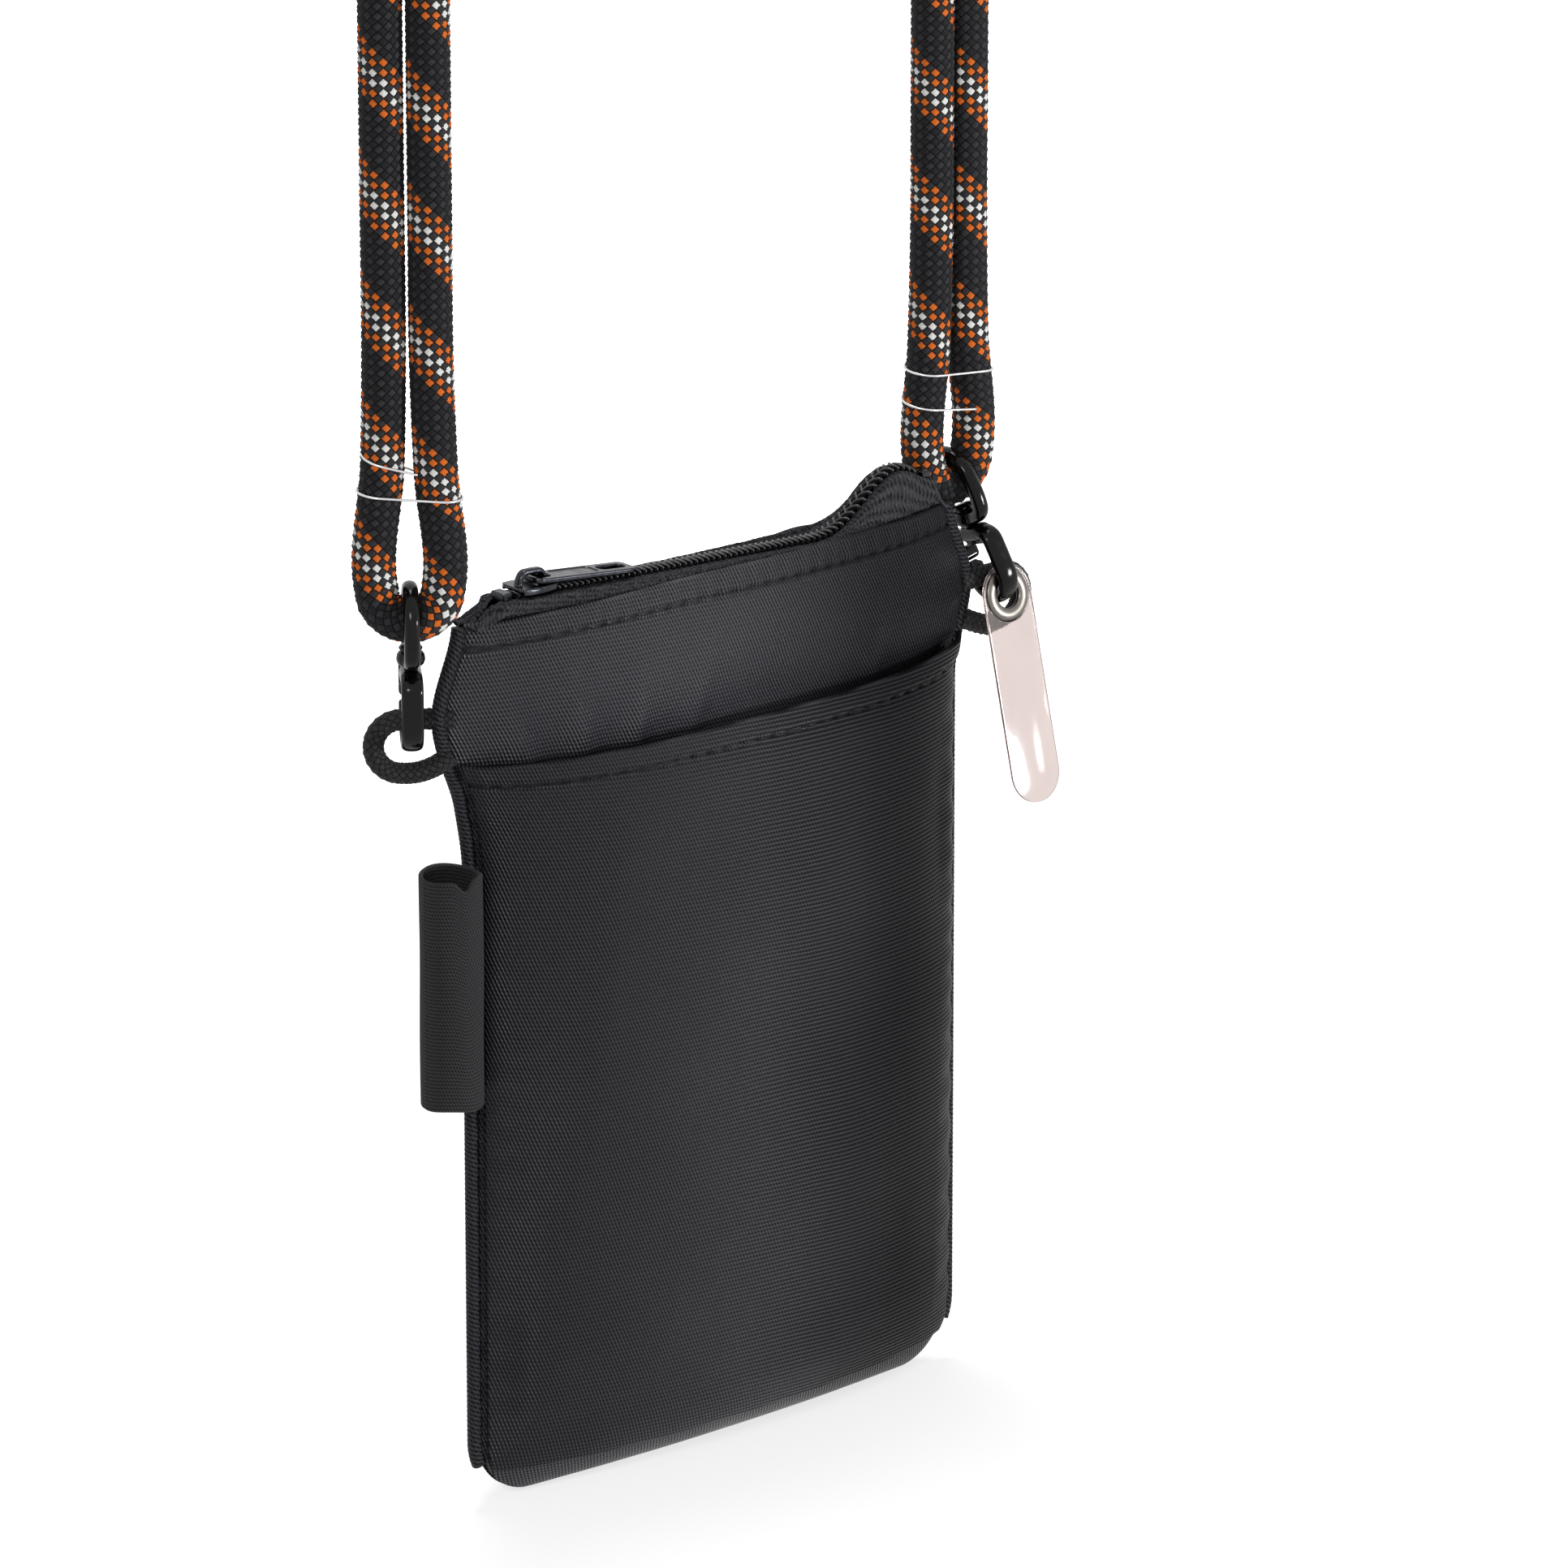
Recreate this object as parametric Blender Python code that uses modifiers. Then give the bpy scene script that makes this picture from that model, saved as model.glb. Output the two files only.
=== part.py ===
# A small crossbody pouch on a doubled rope strap, hung by two swivel hooks.
# Metres, +Z up. The origin is the point where the strap is carried; the front faces -Y.
# Every piece is modelled in the pouch's own frame, whose zero is the middle of its bottom seam.
from functools import partial
from math import atan2, cos, pi, radians, sin, sqrt

import bmesh
import bpy
from mathutils import Matrix, Vector

GAP = 0.0003
OVERRUN = 0.001
MERGE = 0.00001

# Pouch body
POUCH_HEIGHT = 0.175
POUCH_WIDTH = 0.117
TOP_NARROWING = 0.001
LOOP_FLARE = 0.004
FLARE_REACH = 0.018
CORNER_RADIUS = 0.012
BOTTOM_ROUND = 0.014
PANEL_WALL = 0.0008
FRONT_DEPTH = 0.0103
FRONT_TOP_DEPTH = 0.0055
BACK_DEPTH = 0.0080
BACK_TOP_DEPTH = 0.0068
LINING_WALL = 0.0004
LINING_INSET = 0.005
BINDING_WIDTH = 0.002
BINDING_DEPTH = 0.0026

# Slip pocket on the front
POCKET_HEIGHT = 0.149
POCKET_SAG = 0.0025
POCKET_EASE = 0.0056
POCKET_WALL = 0.0008
POCKET_FOOT = 0.006
POCKET_SIDE_SEAM = 0.0028

# Zip
ZIP_TAPE_WALL = 0.0005
ZIP_TAPE_SEAM = 0.006
ZIP_LEFT_INSET = 0.006
ROPE_ROOM = 0.0033
ZIP_LEFT_RISE = 0.0036
ZIP_RUN_DROP = 0.0006
ZIP_CREST_RISE = 0.0092
ZIP_END_RISE = 0.0062
ZIP_RUN_INSET = 0.0365
ZIP_CREST_INSET = 0.0133
TOOTH_ROW_WIDTH = 0.0012
TOOTH_ROW_GAP = 0.0014
STOP_LENGTH = 0.0022
STOP_HEIGHT = 0.0022
SLIDER_LENGTH = 0.0096
SLIDER_WIDTH = 0.0072
SLIDER_PLATE = 0.0008
SLIDER_NECK = 0.0008
SLIDER_INSET = 0.014
BRIDGE_SPAN = 0.0056
BRIDGE_RISE = 0.0029
BRIDGE_WIRE = 0.0012
BRIDGE_WIDTH = 0.0018
PULL_LENGTH = 0.0245
PULL_WIDTH = 0.0056
PULL_THICKNESS = 0.001
PULL_BAR = 0.001
PULL_EYE_LENGTH = 0.0036
PULL_WINDOW_LENGTH = 0.0063
PULL_WINDOW_WIDTH = 0.0026
PULL_DROOP_DEG = 3.0

# Side loops of round cord, sewn into the side seams
LOOP_CORD = 0.0042
LOOP_HOLE_LENGTH = 0.0113
HOOK_PLACE = 0.0048
LOOP_HOLE_HEIGHT = 0.0063
LOOP_BAND_DROP = 0.0172
LOOP_BAND_HEIGHT = POUCH_HEIGHT - LOOP_BAND_DROP
LEFT_LOOP_TURN_DEG = 36.0
RIGHT_LOOP_TURN_DEG = 0.0
LEAN_EASE = 0.0005

# Swivel hooks: the hook's own frame is w (spine to nose), n (pin) and the shank
HOOK_BAR = 0.0024
HOOK_BAR_DEPTH = 0.0042
MOUTH_PLAY = 0.0019
HOOK_REACH = 0.0066
HEAD_HEIGHT = 0.0032
HEAD_WIDTH = 0.0076
STEM_RADIUS = 0.0013
RIVET_RADIUS = 0.0023
RIVET_HEIGHT = 0.001
EYE_WIRE = 0.003
EYE_CORNER = 0.003
BOSS_RADIUS = 0.0032
GATE_DROP = 0.0052
PIN_RADIUS = 0.0006
PIN_PLAY = 0.00012
LUG_THICKNESS = 0.0014
SPRING_WALL = 0.0003
SPRING_WIDTH = 0.0024
RIGHT_LEAN_INWARD = 0.0042
RIGHT_LEAN_BACK = 0.0062
RIGHT_HOOK_TURN_DEG = 3.0

# Rope strap
ROPE = 0.0083
BIGHT_EASE = 0.00055
PAIR_EASE = 0.0002
BIGHT_OPEN_UNTIL = 0.010
PAIR_CLOSED_FROM = 0.031
KNOT_HEIGHT = 0.333
KNOT_TURNS = 3
KNOT_EASE = 0.0006
HANG_HEIGHT = 0.440
ROPE_STEP = 0.021
TIE_WIRE = 0.0005
TIE_HEIGHT_ABOVE_BIGHT = 0.020
TIE_PITCH = 0.0075
TIE_TURNS = 2

# Elastic pen loop on the left seam
PEN_LOOP_WIDTH = 0.012
PEN_LOOP_WALL = 0.0009
PEN_LOOP_BOTTOM = 0.083
PEN_LOOP_TOP = 0.1285
PEN_LOOP_FORWARD = 0.003

# Clear tether tab on the right hook
TAB_WIDTH = 0.012
TAB_LENGTH = 0.047
TAB_WALL = 0.0006
EYELET_HOLE = 0.0054
EYELET_OUTER = 0.0104
EYELET_THICKNESS = 0.0012
EYELET_DROP = 0.0004
TAB_LEAN_DEG = 14.0
TAB_PLACE_SHARE = 0.46


def clear_scene():
    for obj in list(bpy.data.objects):
        bpy.data.objects.remove(obj, do_unlink=True)


clear_scene()
parts = bpy.data.collections.new("crossbody_pouch")
cutters = bpy.data.collections.new("cutters")
bpy.context.scene.collection.children.link(parts)
bpy.context.scene.collection.children.link(cutters)
pouch_frame = bpy.data.objects.new("pouch_frame", None)
pouch_frame.location = (0, 0, -HANG_HEIGHT)
parts.objects.link(pouch_frame)
pouch_swing = bpy.data.objects.new("pouch_swing", None)
pouch_swing.location = (0, 0, LOOP_BAND_HEIGHT)
pouch_swing.parent = pouch_frame
parts.objects.link(pouch_swing)


def material(name, color, roughness, metallic=0.0, alpha=1.0):
    made = bpy.data.materials.new(name)
    made.use_nodes = True
    shader = made.node_tree.nodes["Principled BSDF"]
    shader.inputs["Base Color"].default_value = (*color, 1.0)
    shader.inputs["Roughness"].default_value = roughness
    shader.inputs["Metallic"].default_value = metallic
    shader.inputs["Alpha"].default_value = alpha
    return made


nylon = material("black_nylon", (0.017, 0.017, 0.019), 0.5)
lining_cloth = material("black_lining", (0.012, 0.012, 0.013), 0.75)
tape_cloth = material("zip_tape", (0.010, 0.010, 0.011), 0.85)
coil_plastic = material("zip_coil", (0.014, 0.014, 0.015), 0.35)
gunmetal = material("gunmetal", (0.060, 0.060, 0.066), 0.28, 1.0)
black_enamel = material("black_enamel", (0.010, 0.010, 0.011), 0.30)
steel = material("steel", (0.560, 0.570, 0.580), 0.25, 1.0)
cord_fabric = material("black_cord", (0.012, 0.012, 0.014), 0.8)
rope_fabric = material("rope", (0.045, 0.032, 0.026), 0.8)
elastic = material("black_elastic", (0.015, 0.015, 0.016), 0.85)
clear_plastic = material("clear_plastic", (0.900, 0.880, 0.880), 0.12, 0.0, 0.35)
silver = material("brushed_silver", (0.600, 0.590, 0.570), 0.35, 1.0)


def add_mesh(name, bm, mat):
    bmesh.ops.recalc_face_normals(bm, faces=bm.faces)
    mesh = bpy.data.meshes.new(name)
    bm.to_mesh(mesh)
    bm.free()
    mesh.shade_smooth()
    mesh.set_sharp_from_angle(angle=radians(40))
    obj = bpy.data.objects.new(name, mesh)
    parts.objects.link(obj)
    obj.parent = pouch_frame
    if mat:
        mesh.materials.append(mat)
    return obj


def as_cutter(obj):
    parts.objects.unlink(obj)
    cutters.objects.link(obj)
    obj.hide_render = True
    obj.display_type = "WIRE"
    return obj


def boolean(obj, other, operation):
    step = obj.modifiers.new(operation.lower(), "BOOLEAN")
    step.operation = operation
    step.solver = "EXACT"
    step.object = as_cutter(other)


def solidify(obj, wall):
    step = obj.modifiers.new("wall", "SOLIDIFY")
    step.thickness = wall
    step.offset = 0.0
    step.use_even_offset = True


def bevel(obj, width):
    step = obj.modifiers.new("edges", "BEVEL")
    step.width = width
    step.segments = 2
    step.limit_method = "ANGLE"
    step.angle_limit = radians(40)


def block(name, low, high, mat):
    """A box between two corners, from Blender's cube."""
    low, high = Vector(low), Vector(high)
    bm = bmesh.new()
    size = high - low
    place = Matrix.Translation((low + high) / 2) @ Matrix.Diagonal((*size, 1))
    bmesh.ops.create_cube(bm, size=1.0, matrix=place)
    return add_mesh(name, bm, mat)


def rod(name, start, end, radius, mat, sides=24):
    """A round bar between two points."""
    start, end = Vector(start), Vector(end)
    bm = bmesh.new()
    turn = (end - start).to_track_quat("Z", "Y").to_matrix().to_4x4()
    place = Matrix.Translation((start + end) / 2) @ turn
    long = (end - start).length
    bmesh.ops.create_cone(
        bm, cap_ends=True, segments=sides, radius1=radius, radius2=radius, depth=long, matrix=place
    )
    return add_mesh(name, bm, mat)


def sheet(name, surface, across, up, wall, mat, closed=False):
    """A cloth sheet: Blender's grid laid on surface(u, v), u from -1 to 1 and v from 0 to 1."""
    bm = bmesh.new()
    bmesh.ops.create_grid(bm, x_segments=across, y_segments=up, size=1.0)
    for vert in bm.verts:
        vert.co = surface(vert.co.x, (vert.co.y + 1) / 2)
    if closed:
        bmesh.ops.remove_doubles(bm, verts=bm.verts, dist=MERGE)
    obj = add_mesh(name, bm, mat)
    solidify(obj, wall)
    return obj


def tube(name, points, diameter, mat, sides_level=2, cyclic=False):
    """A round wire or cord along points, with filled caps."""
    curve = bpy.data.curves.new(name, "CURVE")
    curve.dimensions = "3D"
    curve.bevel_depth = diameter / 2
    curve.bevel_resolution = sides_level
    curve.use_fill_caps = not cyclic
    line = curve.splines.new("POLY")
    line.points.add(len(points) - 1)
    for spot, point in zip(line.points, points):
        spot.co = (*point, 1.0)
    line.use_cyclic_u = cyclic
    curve.materials.append(mat)
    obj = bpy.data.objects.new(name, curve)
    parts.objects.link(obj)
    obj.parent = pouch_frame
    return obj


def tube_as_mesh(name, points, diameter, mat, sides_level=2, cyclic=False):
    """The same wire as a mesh with welded caps, so that it can be cut and joined."""
    curve = tube(name + "_line", points, diameter, mat, sides_level, cyclic)
    bpy.context.view_layer.update()
    graph = bpy.context.evaluated_depsgraph_get()
    mesh = bpy.data.meshes.new_from_object(curve.evaluated_get(graph))
    bm = bmesh.new()
    bm.from_mesh(mesh)
    bmesh.ops.remove_doubles(bm, verts=bm.verts, dist=MERGE)
    bpy.data.objects.remove(curve, do_unlink=True)
    bpy.data.meshes.remove(mesh)
    return add_mesh(name, bm, mat)


def arc(centre, radius, start_deg, end_deg, count):
    """Points of an arc in a plane, as pairs."""
    span = radians(end_deg - start_deg)
    turns = [radians(start_deg) + span * i / count for i in range(count + 1)]
    return [(centre[0] + radius * cos(t), centre[1] + radius * sin(t)) for t in turns]


def smooth(t):
    t = min(max(t, 0.0), 1.0)
    return t * t * (3 - 2 * t)


def mix(a, b, t):
    return a + (b - a) * t


# The pouch's outline and crown

CROWN_POWER = 2.3
TOP_CROWN_POWER = 4.0
BACK_CROWN_POWER = 9.0
CROWN_FALL_POWER = 0.75
SLACK_FROM_SHARE = 0.15


def half_width(h):
    """Half of the pouch's width at a height over its bottom."""
    half = POUCH_WIDTH / 2
    flare = LOOP_FLARE * (1 - smooth(abs(h - LOOP_BAND_HEIGHT) / FLARE_REACH))
    narrowing = TOP_NARROWING * smooth((h - LOOP_BAND_HEIGHT) / (POUCH_HEIGHT - LOOP_BAND_HEIGHT))
    if h < CORNER_RADIUS:
        rise = CORNER_RADIUS - max(h, 0.0)
        half -= CORNER_RADIUS - sqrt(CORNER_RADIUS**2 - rise**2)
    return half + flare - narrowing


def bottom_share(h):
    """0 at the bottom seam, 1 where the rounding ends."""
    left = 1 - min(max(h, 0.0) / BOTTOM_ROUND, 1.0)
    return sqrt(1 - left**2)


def crown(u, power):
    """1 in the middle, falling to 0 at the seams; a higher power keeps it flat for longer."""
    return (1 - min(abs(u), 1.0) ** power) ** CROWN_FALL_POWER


def front_depth(x, h, width_inset=0.0, depth_inset=0.0, foot=0.0):
    """How far the front stands before the seam plane at x and height h."""
    top = smooth((h / POUCH_HEIGHT - SLACK_FROM_SHARE) / (1 - SLACK_FROM_SHARE))
    depth = mix(FRONT_DEPTH, FRONT_TOP_DEPTH, top) - depth_inset
    power = mix(CROWN_POWER, TOP_CROWN_POWER, top)
    half = half_width(h) - width_inset
    return depth * bottom_share(h - foot) * crown(x / half, power)


def back_depth(x, h, width_inset=0.0, depth_inset=0.0, foot=0.0):
    top = smooth((h / POUCH_HEIGHT - SLACK_FROM_SHARE) / (1 - SLACK_FROM_SHARE))
    depth = mix(BACK_DEPTH, BACK_TOP_DEPTH, top) - depth_inset
    half = half_width(h) - width_inset
    return depth * bottom_share(h - foot) * crown(x / half, BACK_CROWN_POWER)


SEAM_HALF = (PANEL_WALL + GAP) / 2


ROW_POWER = 1.6
CROWDING_SHARE = 0.7
PANEL_ROWS = 15
ROWS_OVER_BAND = 3


def height_of(v, low, high):
    """Rows close together near the bottom, where the panel curves most."""
    return low + (high - low) * v**ROW_POWER


def panel_height(v):
    """The height of a panel's row; one row stands where the cord loops pull the seams out."""
    band = 1 - ROWS_OVER_BAND / PANEL_ROWS
    if v > band:
        return mix(LOOP_BAND_HEIGHT, POUCH_HEIGHT, (v - band) / (1 - band))
    return height_of(v / band, 0.0, LOOP_BAND_HEIGHT)


def across(u):
    """Columns close together near the side seams."""
    return mix(u, sin(u * pi / 2), CROWDING_SHARE)


def front_surface(u, v):
    h = panel_height(v)
    x = half_width(h) * across(u)
    return Vector((x, -SEAM_HALF - front_depth(x, h), h))


def back_surface(u, v):
    h = panel_height(v)
    x = half_width(h) * across(u)
    return Vector((x, SEAM_HALF + back_depth(x, h), h))


def outward(x, h):
    """The front panel's outward direction at x and height h."""
    step = GAP
    slope_x = (front_depth(x + step, h) - front_depth(x - step, h)) / (2 * step)
    slope_h = (front_depth(x, h + step) - front_depth(x, h - step)) / (2 * step)
    return Vector((-slope_x, -1, -slope_h)).normalized()


def pocket_gap(x, h):
    """How far the pocket stands before the front panel: sewn at its foot and sides, open at its hem."""
    rise = smooth((h - POCKET_FOOT) / (POCKET_HEIGHT - POCKET_FOOT))
    seam = (PANEL_WALL + POCKET_WALL) / 2 + GAP
    return seam + POCKET_EASE * sqrt(rise) * crown(x / half_width(h), TOP_CROWN_POWER)


def pocket_surface(u, v):
    share = across(u)
    hem = POCKET_HEIGHT - POCKET_SAG * crown(share, CROWN_POWER)
    h = height_of(v, POCKET_FOOT, hem)
    x = (half_width(h) - POCKET_SIDE_SEAM) * share
    seat = Vector((x, -SEAM_HALF - front_depth(x, h), h))
    return seat + outward(x, h) * pocket_gap(x, h)


def build_pouch():
    sheet("front_panel", front_surface, 22, PANEL_ROWS, PANEL_WALL, nylon)
    sheet("back_panel", back_surface, 18, PANEL_ROWS, PANEL_WALL, nylon)
    sheet("pocket_panel", pocket_surface, 22, 13, POCKET_WALL, nylon)


LINING_TOP = POUCH_HEIGHT - ZIP_TAPE_SEAM - 2 * GAP
LINING_SIDE_SHARE = 0.985


def lining_surface(u, v):
    """A closed bag: u runs once round it, and the foot row meets itself in a fold."""
    h = height_of(v, LINING_INSET, LINING_TOP)
    turn = u * pi
    half = half_width(h) - LINING_INSET
    x = half * sin(turn) * LINING_SIDE_SHARE
    inset = PANEL_WALL / 2 + LINING_WALL / 2 + 2 * GAP
    edge = LINING_WALL / 2 + GAP
    if cos(turn) >= 0:
        y = -edge - front_depth(x, h, LINING_INSET, inset, LINING_INSET)
    else:
        y = edge + back_depth(x, h, LINING_INSET, inset, LINING_INSET)
    return Vector((x, y, h))


def build_lining():
    bm = bmesh.new()
    around, rows = 28, 7
    bmesh.ops.create_grid(bm, x_segments=around, y_segments=rows, size=1.0)
    for vert in bm.verts:
        vert.co = lining_surface(vert.co.x, (vert.co.y + 1) / 2)
    bmesh.ops.remove_doubles(bm, verts=bm.verts, dist=MERGE)
    foot = [edge for edge in bm.edges if edge.is_boundary and edge.verts[0].co.z < LINING_TOP / 2]
    bmesh.ops.edgeloop_fill(bm, edges=foot)
    obj = add_mesh("lining", bm, lining_cloth)
    solidify(obj, LINING_WALL)


BINDING_START_SHARE = 0.6


def build_binding(side, name):
    """The folded tape that closes a side seam, row for row with the panels."""
    low, high = CORNER_RADIUS * BINDING_START_SHARE, POUCH_HEIGHT - GAP
    heights = [low]
    heights += [panel_height(i / PANEL_ROWS) for i in range(PANEL_ROWS)]
    heights += [high]
    inside = PANEL_WALL / 2 + GAP + BINDING_WIDTH / 2
    points = [(side * (half_width(h) + inside), 0, h) for h in heights if h >= low]
    obj = tube_as_mesh(name, points, BINDING_WIDTH, nylon, 2)
    obj.data.transform(Matrix.Diagonal((1, BINDING_DEPTH / BINDING_WIDTH, 1, 1)))


# Zip

ZIP_LEFT_REACH = POUCH_WIDTH / 2 - ZIP_LEFT_INSET
ZIP_RIGHT_REACH = POUCH_WIDTH / 2 + ROPE_ROOM - ROPE
ZIP_RUN_END = POUCH_WIDTH / 2 - ZIP_RUN_INSET
ZIP_CREST_X = POUCH_WIDTH / 2 - ZIP_CREST_INSET
SLIDER_REST_X = SLIDER_INSET - POUCH_WIDTH / 2
TAPE_INSIDE = (PANEL_WALL + ZIP_TAPE_WALL) / 2 + GAP
ROW_Y = (TOOTH_ROW_GAP + TOOTH_ROW_WIDTH) / 2
TAPE_EDGE_Y = ROW_Y + TOOTH_ROW_WIDTH / 2 + GAP + ZIP_TAPE_WALL / 2
SHOULDER_Y = SLIDER_WIDTH / 2 + GAP + ZIP_TAPE_WALL / 2
ZIP_SLOPE = -(ZIP_RUN_DROP + ZIP_LEFT_RISE) / (ZIP_RUN_END + ZIP_LEFT_REACH)
CREST_POWER = 1.6


def zip_height(x):
    """The closed zip's line: straight where the slider runs, then up to a crest and down to its end."""
    run = POUCH_HEIGHT + ZIP_LEFT_RISE + ZIP_SLOPE * (x + ZIP_LEFT_REACH)
    if x <= ZIP_RUN_END:
        return run
    crest = POUCH_HEIGHT + ZIP_CREST_RISE
    if x <= ZIP_CREST_X:
        climb = smooth((x - ZIP_RUN_END) / (ZIP_CREST_X - ZIP_RUN_END))
        return mix(run, crest, climb**CREST_POWER)
    end = POUCH_HEIGHT + ZIP_END_RISE
    return mix(crest, end, smooth((x - ZIP_CREST_X) / (ZIP_RIGHT_REACH - ZIP_CREST_X)))


TAPE_ROWS = 5
TAPE_BELLY_SHARE = 0.5
TAPE_RISE_SHARE = 0.45


def tape_point(side, u, v):
    """v runs from the sewn edge inside the panel, over the shoulder, to the teeth."""
    x = mix(-ZIP_LEFT_REACH, ZIP_RIGHT_REACH, (u + 1) / 2)
    depth = front_depth(x, POUCH_HEIGHT) if side < 0 else back_depth(x, POUCH_HEIGHT)
    inner = max(SEAM_HALF + depth - TAPE_INSIDE, TAPE_EDGE_Y / 2)
    top = zip_height(x)
    away = smooth((x - ZIP_RUN_END - SLIDER_LENGTH / 2) / SLIDER_LENGTH)
    shoulder = mix(SHOULDER_Y, TAPE_EDGE_Y + ZIP_TAPE_WALL, away)
    rows = (
        (inner, POUCH_HEIGHT - ZIP_TAPE_SEAM),
        (inner, POUCH_HEIGHT - GAP),
        (mix(max(inner, shoulder), shoulder, TAPE_BELLY_SHARE), mix(POUCH_HEIGHT, top, TAPE_RISE_SHARE)),
        (shoulder, top - ZIP_TAPE_WALL / 2),
        (TAPE_EDGE_Y, top),
    )
    y, z = rows[round(v * (TAPE_ROWS - 1))]
    return Vector((x, side * y, z))


def build_zip():
    for side, name in ((-1, "zip_tape_front"), (1, "zip_tape_back")):
        surface = partial(tape_point, side)
        sheet(name, surface, 24, TAPE_ROWS - 1, ZIP_TAPE_WALL, tape_cloth)
    low = -ZIP_LEFT_REACH + STOP_LENGTH + 2 * GAP
    high = ZIP_RIGHT_REACH - STOP_LENGTH - 2 * GAP
    stations = [mix(low, high, i / 26) for i in range(27)]
    for side, name in ((-1, "zip_teeth_front"), (1, "zip_teeth_back")):
        row = [(x, side * ROW_Y, zip_height(x)) for x in stations]
        tube(name, row, TOOTH_ROW_WIDTH, coil_plastic)
    for side, name in ((-1, "zip_stop_left"), (1, "zip_stop_right")):
        start = -ZIP_LEFT_REACH if side < 0 else ZIP_RIGHT_REACH - STOP_LENGTH
        middle = zip_height(start + STOP_LENGTH / 2)
        wide = TAPE_EDGE_Y - ZIP_TAPE_WALL / 2 - GAP
        stop = block(
            name,
            (start, -wide, middle - STOP_HEIGHT / 2),
            (start + STOP_LENGTH, wide, middle + STOP_HEIGHT / 2),
            gunmetal,
        )
        bevel(stop, STOP_HEIGHT / 8)


def zip_frame(x):
    """The slider's own frame on the zip: its X lies along the teeth."""
    tilt = Matrix.Rotation(-atan2(ZIP_SLOPE, 1.0), 4, "Y")
    return Matrix.Translation((x, 0, zip_height(x))) @ tilt


PLATE_CLEAR = TOOTH_ROW_WIDTH / 2 + GAP
BRIDGE_TOP = PLATE_CLEAR + SLIDER_PLATE + BRIDGE_RISE
PULL_PIVOT = PLATE_CLEAR + SLIDER_PLATE + PULL_BAR / 2 + GAP


def build_slider():
    frame = zip_frame(SLIDER_REST_X)
    half, wide = SLIDER_LENGTH / 2, SLIDER_WIDTH / 2
    top = block(
        "zip_slider",
        (-half, -wide, PLATE_CLEAR),
        (half, wide, PLATE_CLEAR + SLIDER_PLATE),
        gunmetal,
    )
    bottom = block(
        "slider_bottom_plate",
        (-half, -wide, -PLATE_CLEAR - SLIDER_PLATE),
        (half, wide, -PLATE_CLEAR),
        gunmetal,
    )
    neck = block(
        "slider_neck",
        (-half + GAP, -SLIDER_NECK / 2, -PLATE_CLEAR - SLIDER_PLATE / 2),
        (-half / 3, SLIDER_NECK / 2, PLATE_CLEAR + SLIDER_PLATE / 2),
        gunmetal,
    )
    foot = PLATE_CLEAR + SLIDER_PLATE / 2
    reach = BRIDGE_SPAN / 2
    rise = BRIDGE_TOP - BRIDGE_WIRE / 2
    shape = [(-reach, foot)]
    shape += arc((-reach + BRIDGE_WIRE, rise - BRIDGE_WIRE), BRIDGE_WIRE, 180, 90, 3)
    shape += arc((reach - BRIDGE_WIRE, rise - BRIDGE_WIRE), BRIDGE_WIRE, 90, 0, 3)
    shape += [(reach, foot)]
    bridge = tube_as_mesh("slider_bridge", [(x, 0, z) for x, z in shape], BRIDGE_WIRE, gunmetal, 2)
    bridge.data.transform(Matrix.Diagonal((1, BRIDGE_WIDTH / BRIDGE_WIRE, 1, 1)))
    for plate in (top, bottom):
        bevel(plate, SLIDER_PLATE / 4)
    for piece in (bottom, neck, bridge):
        boolean(top, piece, "UNION")
    for piece in (top, bottom, neck, bridge):
        piece.matrix_local = frame


def build_pull():
    frame = zip_frame(SLIDER_REST_X) @ Matrix.Translation((0, 0, PULL_PIVOT))
    frame = frame @ Matrix.Rotation(radians(PULL_DROOP_DEG), 4, "Y")
    half = PULL_WIDTH / 2
    start = -PULL_BAR / 2
    plate = block(
        "zip_pull",
        (start, -half, -PULL_THICKNESS / 2),
        (start + PULL_LENGTH, half, PULL_THICKNESS / 2),
        gunmetal,
    )
    eye_half = BRIDGE_WIDTH / 2 + 2 * GAP
    eye = block(
        "pull_eye_cut",
        (PULL_BAR / 2, -eye_half, -PULL_THICKNESS),
        (PULL_BAR / 2 + PULL_EYE_LENGTH, eye_half, PULL_THICKNESS),
        None,
    )
    window_end = start + PULL_LENGTH - (PULL_WIDTH - PULL_WINDOW_WIDTH) / 2
    window = block(
        "pull_window_cut",
        (window_end - PULL_WINDOW_LENGTH, -PULL_WINDOW_WIDTH / 2, -PULL_THICKNESS),
        (window_end, PULL_WINDOW_WIDTH / 2, PULL_THICKNESS),
        None,
    )
    boolean(plate, eye, "DIFFERENCE")
    boolean(plate, window, "DIFFERENCE")
    bevel(plate, PULL_THICKNESS / 5)
    for piece in (plate, eye, window):
        piece.matrix_local = frame


# Side loops

LOOP_LENGTH = LOOP_HOLE_LENGTH + LOOP_CORD
BAND_TO_FOOT = LOOP_HOLE_HEIGHT + LOOP_CORD
LOOP_ARC = BAND_TO_FOOT / 2


def seam_side(h):
    """The outer side of the side binding."""
    return half_width(h) + PANEL_WALL / 2 + GAP + BINDING_WIDTH


def loop_direction(side):
    turn = radians(LEFT_LOOP_TURN_DEG if side < 0 else RIGHT_LOOP_TURN_DEG)
    return Vector((side * cos(turn), sin(turn), 0))


def loop_start(side):
    turn = radians(LEFT_LOOP_TURN_DEG if side < 0 else RIGHT_LOOP_TURN_DEG)
    return GAP + LOOP_CORD / 2 * sin(turn)


def loop_root(side):
    widest = max(seam_side(LOOP_BAND_HEIGHT), seam_side(LOOP_BAND_HEIGHT - BAND_TO_FOOT))
    return Vector((side * widest, 0, 0))


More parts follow.
